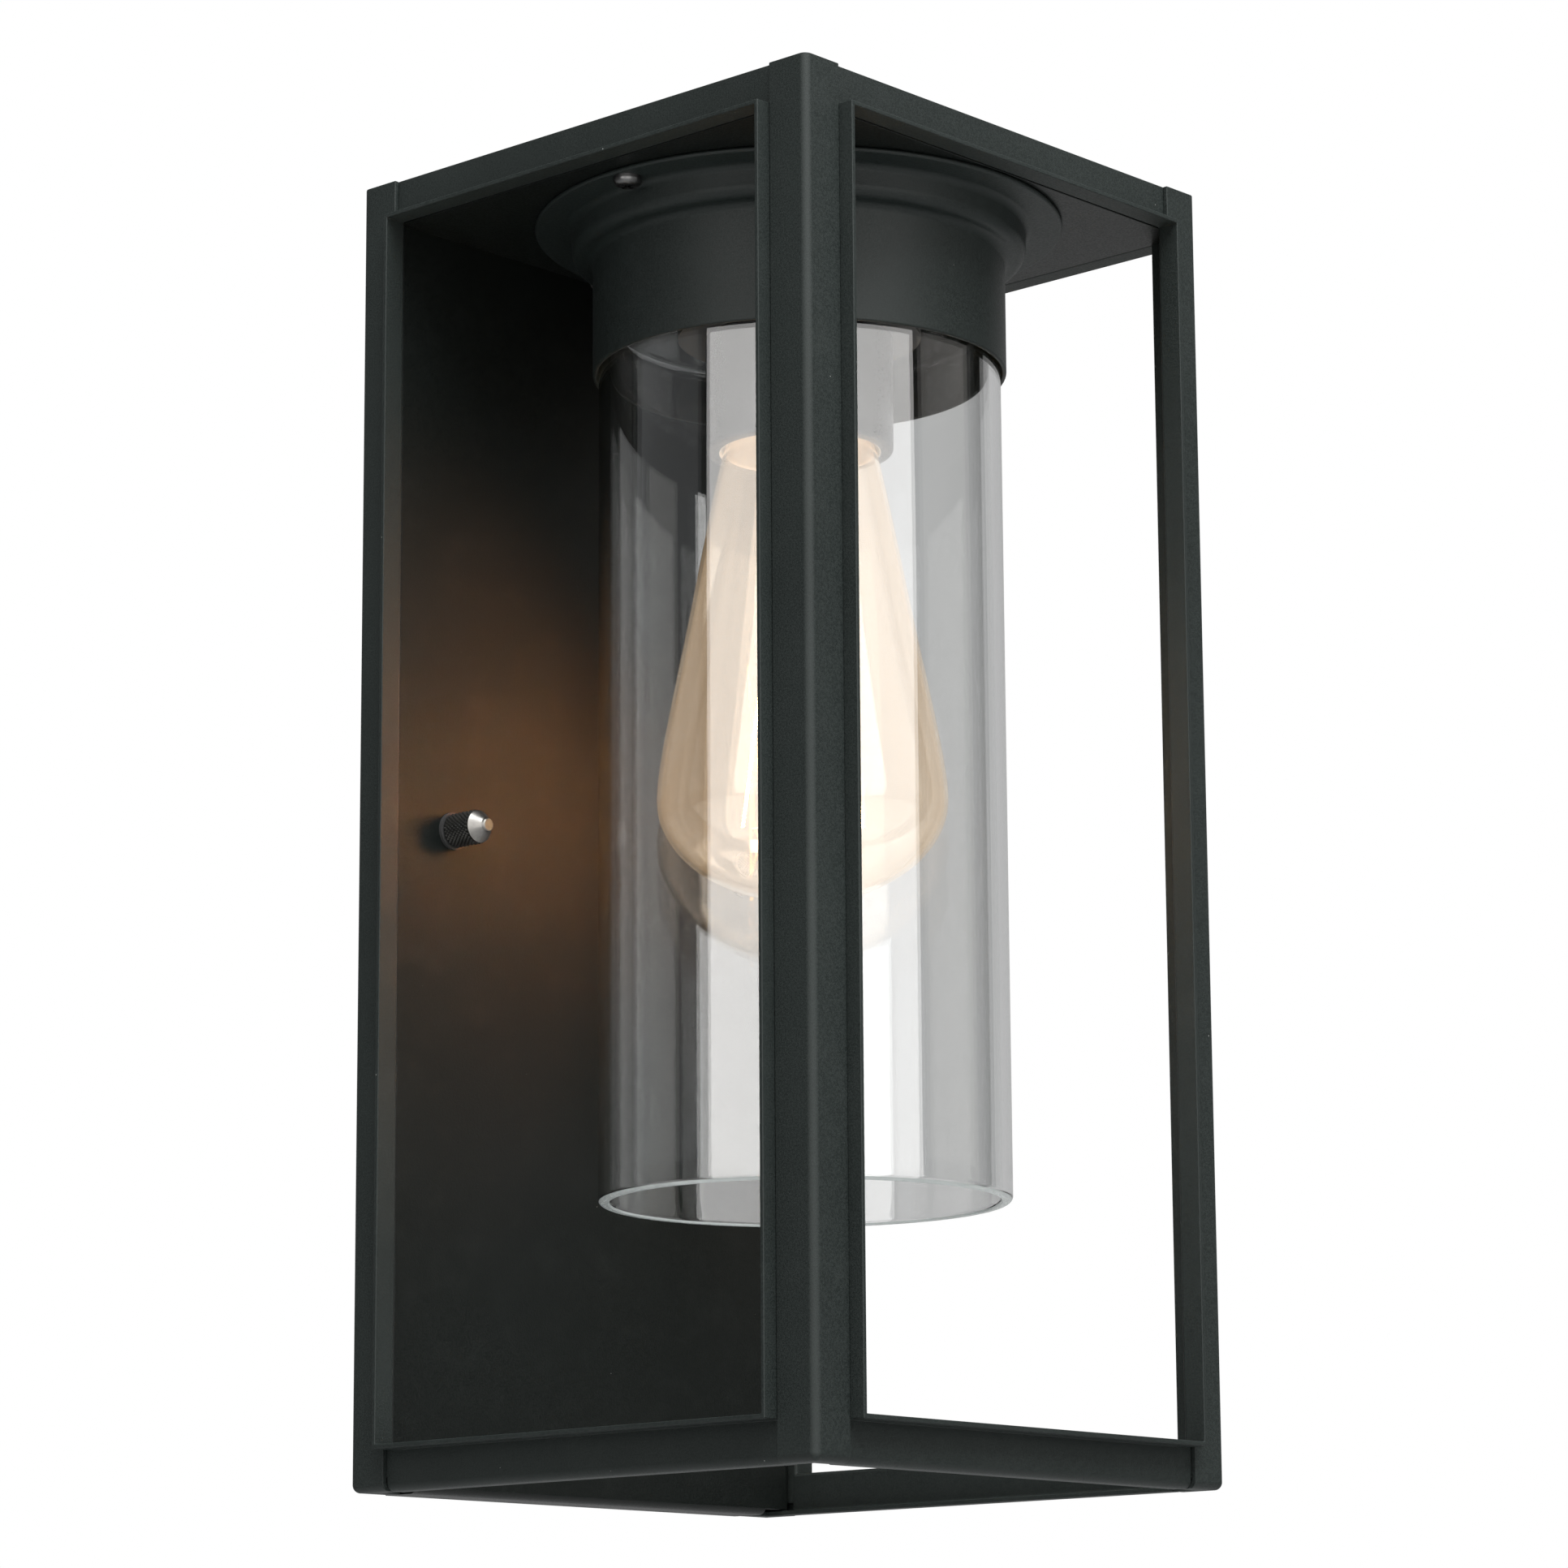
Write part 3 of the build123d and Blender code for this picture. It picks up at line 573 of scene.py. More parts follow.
def rounded(points: Profile, radii: Sequence[float], steps: int = 4) -> Outline:
    """A closed outline with rounded corners.

    Args:
        points: corners, as radius and height.
        radii: rounding of each corner; zero keeps it sharp.
        steps: spans of each rounding.

    Returns:
        Points of the rounded outline.
    """
    found = []
    count = len(points)
    for i, radius in enumerate(radii):
        corner = Vector(points[i])
        back = Vector(points[i - 1]) - corner
        ahead = Vector(points[(i + 1) % count]) - corner
        if radius <= 0:
            found.append(tuple(corner))
            continue
        half = back.angle(ahead) / 2
        reach = min(radius / math.tan(half), back.length * 0.49, ahead.length * 0.49)
        start, end = corner + back.normalized() * reach, corner + ahead.normalized() * reach
        for step in range(steps + 1):
            t = step / steps
            found.append(tuple(start * (1 - t) ** 2 + corner * 2 * t * (1 - t) + end * t ** 2))
    return found


def mesh_object(name: str, vertices: Sequence[Vector], faces: Sequence[Sequence[int]],
                finish: Finish, smooth_angle: float = 32.0) -> bpy.types.Object:
    """A mesh object in the scene, with outward normals and one finish.

    Args:
        name: name of the object.
        vertices: places in metres.
        faces: indices of each face.
        finish: its finish.
        smooth_angle: edges sharper than this, in degrees, stay sharp.

    Returns:
        The object.
    """
    mesh = bpy.data.meshes.new(name)
    mesh.from_pydata(vertices, [], faces)
    work = bmesh.new()
    work.from_mesh(mesh)
    bmesh.ops.remove_doubles(work, verts=work.verts, dist=SAME_PLACE)
    bmesh.ops.recalc_face_normals(work, faces=work.faces)
    work.to_mesh(mesh)
    work.free()
    mesh.shade_smooth()
    mesh.set_sharp_from_angle(angle=math.radians(smooth_angle))
    mesh.materials.append(finish.material())
    made = bpy.data.objects.new(name, mesh)
    bpy.context.scene.collection.objects.link(made)
    return made


def turned(name: str, outline: Profile, centre: Vector, finish: Finish, *, facing: Facing = Facing.UP,
           segments: int = 128, smooth_angle: float = 32.0) -> bpy.types.Object:
    """A closed piece turned about an axis.

    Args:
        name: name of the object.
        outline: closed outline, as radius and height; points at radius zero become poles.
        centre: where radius zero and height zero lie.
        finish: its finish.
        facing: direction of the axis.
        segments: number of spans round the axis.
        smooth_angle: edges sharper than this, in degrees, stay sharp.

    Returns:
        The object.
    """
    matrix = placed(facing, centre)
    vertices: list[Vector] = []
    rings: list[list[int]] = []
    for radius, height in outline:
        if radius < SAME_PLACE:
            rings.append([len(vertices)] * segments)
            vertices.append(matrix @ Vector((0.0, 0.0, height)))
            continue
        rings.append(list(range(len(vertices), len(vertices) + segments)))
        for step in range(segments):
            angle = 2 * math.pi * step / segments
            vertices.append(matrix @ Vector((radius * math.cos(angle), radius * math.sin(angle), height)))
    faces = []
    for first, second in zip(rings, rings[1:] + rings[:1]):
        for step in range(segments):
            after = (step + 1) % segments
            corners = [first[step], first[after], second[after], second[step]]
            corners = [c for i, c in enumerate(corners) if c not in corners[:i]]
            if len(corners) > 2:
                faces.append(corners)
    return mesh_object(name, vertices, faces, finish, smooth_angle)


def joined(name: str, parts: Sequence[bpy.types.Object]) -> bpy.types.Object:
    """Several objects as one, with their materials kept.

    Args:
        name: name of the result.
        parts: the objects, which are used up.

    Returns:
        The one object.
    """
    materials: list[bpy.types.Material] = []
    work = bmesh.new()
    for part in parts:
        slots = []
        for material in part.data.materials:
            if material not in materials:
                materials.append(material)
            slots.append(materials.index(material))
        before = len(work.faces)
        work.from_mesh(part.data)
        work.faces.ensure_lookup_table()
        for face in work.faces[before:]:
            face.material_index = slots[face.material_index]
    mesh = bpy.data.meshes.new(name)
    work.to_mesh(mesh)
    work.free()
    for material in materials:
        mesh.materials.append(material)
    for part in parts:
        bpy.data.objects.remove(part)
    made = bpy.data.objects.new(name, mesh)
    bpy.context.scene.collection.objects.link(made)
    return made


def baked(made: bpy.types.Object) -> bpy.types.Object:
    """Turns the modifiers of an object into plain mesh.

    Args:
        made: an object with modifiers.

    Returns:
        The same object, without modifiers.
    """
    scene_graph = bpy.context.evaluated_depsgraph_get()
    mesh = bpy.data.meshes.new_from_object(made.evaluated_get(scene_graph), depsgraph=scene_graph)
    made.modifiers.clear()
    made.data = mesh
    return made


def dress(node: str, finish: Finish) -> None:
    """Gives a CAD node its finish.

    Args:
        node: the CAD node.
        finish: its finish.
    """
    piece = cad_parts[node]
    for slot in piece.material_slots:
        slot.material = finish.material()


def stand_for(made: bpy.types.Object, node: str, body: str) -> None:
    """Lets a piece take the place of a CAD node.

    Args:
        made: the piece.
        node: the CAD node that it stands for.
        body: the body it moves with.
    """
    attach(made, body)
    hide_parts(node)
    log.info("%s: %d faces", made.name, len(made.data.polygons))


def centre_of(node: str) -> Vector:
    """The middle of the box of a CAD node."""
    low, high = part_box(node)
    return (Vector(low) + Vector(high)) / 2


@dataclass(frozen=True)
class Upright:
    """Where a piece with a vertical axis lies: its axis at height zero, its two ends and its radius."""

    axis: Vector
    foot: float
    top: float
    radius: float

    @classmethod
    def of(cls, node: str) -> "Upright":
        """Measures a CAD node.

        Args:
            node: the CAD node.

        Returns:
            Where it lies.
        """
        low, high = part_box(node)
        middle = centre_of(node)
        return cls(Vector((middle.x, middle.y, 0.0)), low[2], high[2], (high[0] - low[0]) / 2)


# ---- geometry nodes ---------------------------------------------------------------------------


class Repeater:
    """A Geometry Nodes tree with named inputs, written once and used as a modifier."""

    def __init__(self, name: str) -> None:
        """Starts an empty tree with a geometry output."""
        self.tree = bpy.data.node_groups.new(name, "GeometryNodeTree")
        self.tree.interface.new_socket("Geometry", in_out="OUTPUT", socket_type="NodeSocketGeometry")
        self.entry = self.tree.nodes.new("NodeGroupInput")
        self.exit = self.tree.nodes.new("NodeGroupOutput")
        self.identifiers: dict[str, str] = {}

    def input(self, name: str, kind: str) -> bpy.types.NodeSocket:
        """Adds a named input.

        Args:
            name: name of the input.
            kind: type of its socket.

        Returns:
            Its socket inside the tree.
        """
        item = self.tree.interface.new_socket(name, in_out="INPUT", socket_type=kind)
        self.identifiers[name] = item.identifier
        return next(s for s in self.entry.outputs if s.identifier == item.identifier)

    def node(self, kind: str, settings: dict[str, Any], inputs: dict[Any, Any]) -> bpy.types.Node:
        """Adds a node.

        Args:
            kind: node type.
            settings: properties of the node, set first.
            inputs: values, or sockets to link, by socket name or number.

        Returns:
            The new node.
        """
        made = self.tree.nodes.new(kind)
        for key, value in settings.items():
            setattr(made, key, value)
        for key, value in inputs.items():
            socket = made.inputs[key]
            if isinstance(value, bpy.types.NodeSocket):
                self.tree.links.new(value, socket)
            else:
                socket.default_value = value
        return made

    def maths(self, operation: str, first: Any, second: Any = 0.0) -> bpy.types.NodeSocket:
        """A Math node on two values."""
        return self.node("ShaderNodeMath", {"operation": operation}, {0: first, 1: second}).outputs[0]

    def finish(self, geometry: bpy.types.NodeSocket, material: bpy.types.NodeSocket) -> None:
        """Ends the tree in Realize Instances and Set Material.

        Args:
            geometry: what the tree has made.
            material: the material of all of it.
        """
        real = self.node("GeometryNodeRealizeInstances", {}, {0: geometry})
        painted = self.node("GeometryNodeSetMaterial", {}, {
            "Geometry": real.outputs[0], "Material": material})
        self.tree.links.new(painted.outputs[0], self.exit.inputs[0])

    def make(self, name: str, values: dict[str, Any]) -> bpy.types.Object:
        """Runs the tree once.

        Args:
            name: name of the object.
            values: value of each named input.

        Returns:
            A plain mesh object.
        """
        made = bpy.data.objects.new(name, bpy.data.meshes.new(name))
        bpy.context.scene.collection.objects.link(made)
        modifier = made.modifiers.new(name, "NODES")
        modifier.node_group = self.tree
        for key, value in values.items():
            modifier[self.identifiers[key]] = value
        return baked(made)


class Knurling(Repeater):
    """Rows of small pyramids round a cylinder, every other row turned by half a tooth."""

    crest: float = 0.12

    def __init__(self) -> None:
        """Writes the tree."""
        super().__init__("knurling")
        radius = self.input("Radius", "NodeSocketFloat")
        length = self.input("Length", "NodeSocketFloat")
        around = self.input("Around", "NodeSocketInt")
        rows = self.input("Rows", "NodeSocketInt")
        tooth = self.input("Tooth", "NodeSocketVector")
        material = self.input("Material", "NodeSocketMaterial")
        pyramid = self.node("GeometryNodeMeshCone", {"fill_type": "NGON"}, {
            "Vertices": 4, "Radius Top": self.crest, "Radius Bottom": 1.0, "Depth": 1.0})
        count = self.maths("MULTIPLY", around, rows)
        points = self.node("GeometryNodePoints", {}, {"Count": count})
        index = self.node("GeometryNodeInputIndex", {}, {}).outputs[0]
        row = self.maths("FLOOR", self.maths("DIVIDE", index, around))
        step = self.maths("ADD", self.maths("MODULO", index, around),
                          self.maths("MULTIPLY", self.maths("MODULO", row, 2.0), 0.5))
        angle = self.maths("MULTIPLY", self.maths("DIVIDE", step, around), 2 * math.pi)
        height = self.maths("MULTIPLY", self.maths("DIVIDE", self.maths("ADD", row, 0.5), rows), length)
        place = self.node("ShaderNodeCombineXYZ", {}, {
            0: self.maths("MULTIPLY", self.maths("COSINE", angle), radius),
            1: self.maths("MULTIPLY", self.maths("SINE", angle), radius), 2: height})
        moved = self.node("GeometryNodeSetPosition", {}, {
            "Geometry": points.outputs[0], "Position": place.outputs[0]})
        lean = self.node("ShaderNodeCombineXYZ", {}, {1: math.pi / 2, 2: angle})
        turn = self.node("FunctionNodeEulerToRotation", {}, {0: lean.outputs[0]})
        spread = self.node("GeometryNodeInstanceOnPoints", {}, {
            "Points": moved.outputs[0], "Instance": pyramid.outputs[0],
            "Rotation": turn.outputs[0], "Scale": tooth})
        self.finish(spread.outputs[0], material)


class CoiledLegs(Repeater):
    """Straight coils of wire between two corners, repeated in even turns about the axis."""

    spans_per_coil: float = 10.0
    wire_sides: int = 6

    def __init__(self) -> None:
        """Writes the tree."""
        super().__init__("coiled_legs")
        start = self.input("Start", "NodeSocketVector")
        end = self.input("End", "NodeSocketVector")
        side = self.input("Side", "NodeSocketVector")
        other = self.input("Other Side", "NodeSocketVector")
        coils = self.input("Coils", "NodeSocketFloat")
        coil_radius = self.input("Coil Radius", "NodeSocketFloat")
        wire = self.input("Wire Radius", "NodeSocketFloat")
        repeats = self.input("Repeats", "NodeSocketInt")
        centre = self.input("Centre", "NodeSocketVector")
        material = self.input("Material", "NodeSocketMaterial")
        line = self.node("GeometryNodeCurvePrimitiveLine", {}, {"Start": start, "End": end})
        count = self.maths("MULTIPLY", coils, self.spans_per_coil)
        fine = self.node("GeometryNodeResampleCurve", {}, {"Curve": line.outputs[0], "Count": count})
        factor = self.node("GeometryNodeSplineParameter", {}, {}).outputs["Factor"]
        angle = self.maths("MULTIPLY", self.maths("MULTIPLY", factor, coils), 2 * math.pi)
        first = self.scaled(side, self.maths("MULTIPLY", self.maths("COSINE", angle), coil_radius))
        second = self.scaled(other, self.maths("MULTIPLY", self.maths("SINE", angle), coil_radius))
        offset = self.node("ShaderNodeVectorMath", {"operation": "ADD"}, {0: first, 1: second})
        wound = self.node("GeometryNodeSetPosition", {}, {
            "Geometry": fine.outputs[0], "Offset": offset.outputs[0]})
        section = self.node("GeometryNodeCurvePrimitiveCircle", {"mode": "RADIUS"}, {
            "Resolution": self.wire_sides, "Radius": wire})
        leg = self.node("GeometryNodeCurveToMesh", {}, {
            "Curve": wound.outputs[0], "Profile Curve": section.outputs[0], "Fill Caps": True})
        points = self.node("GeometryNodePoints", {}, {"Count": repeats, "Position": centre})
        index = self.node("GeometryNodeInputIndex", {}, {}).outputs[0]
        turn = self.maths("MULTIPLY", self.maths("DIVIDE", index, repeats), 2 * math.pi)
        euler = self.node("ShaderNodeCombineXYZ", {}, {2: turn})
        rotation = self.node("FunctionNodeEulerToRotation", {}, {0: euler.outputs[0]})
        spread = self.node("GeometryNodeInstanceOnPoints", {}, {
            "Points": points.outputs[0], "Instance": leg.outputs[0], "Rotation": rotation.outputs[0]})
        self.finish(spread.outputs[0], material)

    def scaled(self, vector: bpy.types.NodeSocket, amount: bpy.types.NodeSocket) -> bpy.types.NodeSocket:
        """A vector times a number."""
        node = self.node("ShaderNodeVectorMath", {"operation": "SCALE"}, {0: vector, "Scale": amount})
        return node.outputs[0]


class ThreadRidges(Repeater):
    """A rounded helical ridge round a cylinder."""

    spans_per_turn: int = 96
    ridge_sides: int = 12

    def __init__(self) -> None:
        """Writes the tree."""
        super().__init__("thread_ridges")
        radius = self.input("Radius", "NodeSocketFloat")
        length = self.input("Length", "NodeSocketFloat")
        turns = self.input("Turns", "NodeSocketFloat")
        ridge = self.input("Ridge Radius", "NodeSocketFloat")
        material = self.input("Material", "NodeSocketMaterial")
        spiral = self.node("GeometryNodeCurveSpiral", {}, {
            "Resolution": self.spans_per_turn, "Rotations": turns, "Start Radius": radius,
            "End Radius": radius, "Height": length})
        section = self.node("GeometryNodeCurvePrimitiveCircle", {"mode": "RADIUS"}, {
            "Resolution": self.ridge_sides, "Radius": ridge})
        thread = self.node("GeometryNodeCurveToMesh", {}, {
            "Curve": spiral.outputs[0], "Profile Curve": section.outputs[0], "Fill Caps": True})
        self.finish(thread.outputs[0], material)


# ---- sub-assemblies ---------------------------------------------------------------------------


@dataclass
class Cage:
    """The sheet-metal cage: posts, face frames, wall pan, roof and ceiling."""

    edge: float = 0.22 * MM
    edge_spans: int = 2
    weld: float = 2e-6
    flat_angle: float = 0.6
    edge_angle: float = 50.0
    sharp_angle: float = 30.0
    # Sheets that get the darker coat copy, which paints in the shade of the lantern's inside.
    inner: tuple[str, ...] = ("wall_pan", "ceiling_plate")
    sheets: tuple[str, ...] = (
        "post_front_left", "post_front_right", "post_rear_left", "post_rear_right",
        "frame_front", "frame_left", "frame_right", "wall_pan", "roof_plate", "ceiling_plate")

    def build(self) -> None:
        """Makes every sheet."""
        for node in self.sheets:
            stand_for(self.softened(node), node, "lantern_body")

    def softened(self, node: str) -> bpy.types.Object:
        """A copy of a CAD sheet with its cut edges broken.

        Args:
            node: the CAD node.

        Returns:
            The dressed sheet.
        """
        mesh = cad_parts[node].data.copy()
        work = bmesh.new()
        work.from_mesh(mesh)
        bmesh.ops.remove_doubles(work, verts=work.verts, dist=self.weld)
        bmesh.ops.dissolve_limit(
            work, angle_limit=math.radians(self.flat_angle), verts=work.verts, edges=work.edges)
        work.to_mesh(mesh)
        work.free()
        mesh.materials.clear()
        mesh.materials.append((SHADED_INNER_COAT if node in self.inner else COAT).material())
        made = bpy.data.objects.new(node + "_sheet", mesh)
        made.matrix_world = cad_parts[node].matrix_world.copy()
        bpy.context.scene.collection.objects.link(made)
        bevel = made.modifiers.new("edge", "BEVEL")
        bevel.width = self.edge
        bevel.segments = self.edge_spans
        bevel.limit_method = "ANGLE"
        bevel.angle_limit = math.radians(self.edge_angle)
        baked(made)
        made.data.shade_smooth()
        made.data.set_sharp_from_angle(angle=math.radians(self.sharp_angle))
        weighted = made.modifiers.new("weights", "WEIGHTED_NORMAL")
        weighted.keep_sharp = True
        return baked(made)


@dataclass
class WallFixing:
    """Knurled nuts with their washers, studs, crossbar, grommet and terminal block."""

    around: int = 26
    rows: int = 12
    tooth_height: float = 0.34 * MM
    tooth_width: float = 0.62
    tooth_length: float = 0.52
    tooth_seat: float = 0.42
    tooth_margin: float = 0.25 * MM
    taper: float = 3.4 * MM
    tip: float = 1.7 * MM
    rim: float = 0.35 * MM
    rim_inset: float = 0.12 * MM
    nose: float = 0.7 * MM
    nose_inset: float = 0.25 * MM
    bore: float = 2.05 * MM
    cap: float = 2.0 * MM
    knurling: Knurling = field(default_factory=Knurling)

    def build(self) -> None:
        """Makes the nuts and dresses the rest."""
        for side in ("left", "right"):
            self.nut(side)
            dress("sealing_washer_" + side, RUBBER)
        for node, finish in (("crossbar", ZINC), ("studs", ZINC), ("stud_lock_nuts", ZINC),
                             ("earth_screws", GREEN_ZINC), ("earth_lug", COPPER), ("wire_grommet", RUBBER),
                             ("terminal_block", BLOCK)):
            dress(node, finish)

    def nut(self, side: str) -> None:
        """One nut: a black knurled grip and a bright tapered end.

        Args:
            side: left or right.
        """
        node = "knurled_nut_" + side
        low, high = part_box(node)
        middle = centre_of(node)
        seat = Vector((middle.x, high[1], middle.z))
        radius = (high[0] - low[0]) / 2
        length = high[1] - low[1]
        grip = length - self.taper
        core = radius - self.tooth_height
        rim = radius - self.rim_inset
        bore_end = length - self.cap
        outline = rounded(
            [(self.bore, 0), (core, 0), (core, grip), (rim, grip), (rim, grip + self.rim),
             (self.tip, length - self.nose), (self.tip - self.nose_inset, length), (0, length),
             (0, bore_end), (self.bore, bore_end)],
            [0, 0.15 * MM, 0, 0.05 * MM, 0.1 * MM, 0.15 * MM, 0.35 * MM, 0, 0, 0], 4)
        body = turned(node + "_core", outline, seat, NUT_BLACK, facing=Facing.OUT, segments=96)
        body.data.materials.append(NUT_TIP.material())
        for face in body.data.polygons:
            face.material_index = int(seat.y - face.center.y > grip)
        pitch = 2 * math.pi * radius / self.around
        teeth = self.knurling.make(node + "_teeth", {
            "Radius": core + self.tooth_height * self.tooth_seat, "Length": grip - 2 * self.tooth_margin,
            "Around": self.around, "Rows": self.rows,
            "Tooth": (pitch * self.tooth_width, pitch * self.tooth_length, self.tooth_height),
            "Material": NUT_BLACK.material()})
        teeth.data.transform(placed(Facing.OUT, seat + Vector((0, -self.tooth_margin, 0))))
        nut = joined(node + "_visual", [body, teeth])
        stand_for(nut, node, side + "_nut")


@dataclass
class Fitter:
    """The spun cup with its disc and bead, and its screws."""

    disc: float = 61.0 * MM
    disc_thick: float = 1.2 * MM
    disc_edge: float = 0.6 * MM
    throat: float = 2.0 * MM
    bead: float = 52.5 * MM
    bead_round: float = 2.6 * MM
    bead_drop: float = 8.0 * MM
    waist: float = 2.2 * MM
    waist_drop: float = 1.4 * MM
    collar: float = 47.6 * MM
    wall: float = 1.0 * MM
    hole: float = 5.1 * MM
    segments: int = 192

    def build(self) -> None:
        """Makes the cup and its screws."""
        place = Upright.of("fitter_cup")
        foot, top = place.foot, place.top
        under = top - self.disc_thick
        disc, neck = self.disc - self.disc_edge, self.bead + self.throat
        inner, rim = self.collar - self.wall, self.wall / 2
        outline = [(self.hole, top), (disc, top)]
        outline += arc((disc, top - self.disc_edge), self.disc_edge, 80, -80, 6)
        outline += [(disc, under), (neck, under)]
        outline += arc((neck, under - self.throat), self.throat, 100, 170, 5)
        outline += arc((self.bead - self.bead_round, under - self.throat - self.bead_round),
                       self.bead_round, 0, -80, 8)
        outline += arc((self.collar + self.waist, under - self.bead_drop - self.waist_drop),
                       self.waist, 95, 172, 6)
        outline += [(self.collar, foot + rim)]
        outline += arc((self.collar - rim, foot + rim), rim, -10, -170, 8)
        outline += [(inner, foot + rim), (inner, under), (self.hole, under)]
        cup = turned("fitter_cup_spun", outline, place.axis, CUP_COAT, segments=self.segments)
        stand_for(cup, "fitter_cup", "lantern_body")
        dress("fitter_screws", SCREW_BLACK)


@dataclass
class GlassTube:
    """The clear glass cylinder with its closed shoulder and its beaded rim, whose foot carries a pale painted
    highlight.
    """

    wall: float = 2.5 * MM
    shoulder: float = 3.0 * MM
    hole: float = 22.0 * MM
    bead: float = 0.35 * MM
    rim_highlight_band: float = 0.55 * MM
    seam_drop: float = 60.0 * MM
    segments: int = 256

    def build(self) -> None:
        """Makes the glass, and dresses its gasket and ring."""
        place = Upright.of("glass_cylinder")
        foot, top, radius = place.foot, place.top, place.radius
        inner, under = radius - self.wall, top - self.wall
        half = self.wall / 2
        turn = self.shoulder - half
        seam = top - self.seam_drop
        outline = [(self.hole, top), (radius - self.shoulder, top)]
        outline += arc((radius - self.shoulder, top - self.shoulder), self.shoulder, 80, 10, 7)
        outline += [(radius, top - self.shoulder), (radius, seam), (radius, foot + 8 * half)]
        outline += arc((radius - half, foot + half), half, 0, -90, 8)
        outline += [(inner + half * 0.4, foot + 0.12 * half)]
        outline += arc((inner + half, foot + half), half + self.bead, -130, -190, 6)
        outline += [(inner - self.bead * 0.4, foot + 2.4 * half), (inner, foot + 5 * half), (inner, seam)]
        outline += [(inner, under - turn)]
        outline += arc((inner - turn, under - turn), turn, 10, 80, 5)
        outline += [(inner - turn, under), (self.hole, under)]
        glass = turned("glass_cylinder_blown", outline, place.axis, CLEAR,
                       segments=self.segments, smooth_angle=60)
        # The lowest band of the rim turns pale and opaque: a painted highlight for the bright lines along the
        # glass rim.
        glass.data.materials.append(PAINTED_RIM_HIGHLIGHT.material())
        for face in glass.data.polygons:
            face.material_index = int(face.center.z < foot + self.rim_highlight_band)
        stand_for(glass, "glass_cylinder", "lantern_body")
        dress("glass_gasket", RUBBER)
        dress("retaining_ring", BAKELITE)


@dataclass
class Lampholder:
    """The lampholder, black outside and pale at its mouth, with its contacts and hanging tube."""

    mouth: float = 18.0 * MM
    rounding: float = 1.2 * MM
    mouth_depth: float = 11.0 * MM
    mouth_wall: float = 0.7 * MM
    flange_reach: float = 5.5 * MM
    flange_drop: float = 19.0 * MM
    flange_thick: float = 3.0 * MM
    neck_inset: float = 2.5 * MM
    bore: float = 13.95 * MM
    bore_depth: float = 28.0 * MM
    tube_hole: float = 5.05 * MM
    segments: int = 128

    def build(self) -> None:
        """Dresses the lampholder; its body is turned anew with softer edges."""
        place = Upright.of("lampholder_body")
        foot, top, flange = place.foot, place.top, place.radius
        body = flange - self.flange_reach
        neck = body - self.neck_inset
        flange_low = top - self.flange_drop
        flange_top = flange_low + self.flange_thick
        mouth_end = foot + self.mouth_depth
        floor = mouth_end + self.bore_depth
        outline = rounded(
            [(self.mouth, foot), (body, foot), (body, flange_low), (flange, flange_low), (flange, flange_top),
             (neck, flange_top), (neck, top), (self.tube_hole, top), (self.tube_hole, floor),
             (self.bore, floor), (self.bore, mouth_end), (self.mouth, mouth_end)],
            [0.9 * MM, self.rounding, 0.3 * MM, 0.8 * MM, 0.8 * MM, 0.6 * MM, 0.3 * MM, 0.2 * MM, 0.2 * MM,
             0.2 * MM, 0.6 * MM, 0.8 * MM], 5)
        made = turned("lampholder_moulded", outline, place.axis, HOLDER, segments=self.segments)
        made.data.materials.append(CERAMIC.material())
        for face in made.data.polygons:
            away = (face.center - place.axis).xy.length
            inside = away < self.mouth + self.mouth_wall
            face.material_index = int(inside and face.center.z < floor - 1 * MM)
        stand_for(made, "lampholder_body", "lantern_body")
        for node, finish in (("lampholder_shell", BRASS), ("lampholder_contact", BRASS),
                             ("threaded_nipple", ZINC), ("nipple_nut", ZINC)):
            dress(node, finish)


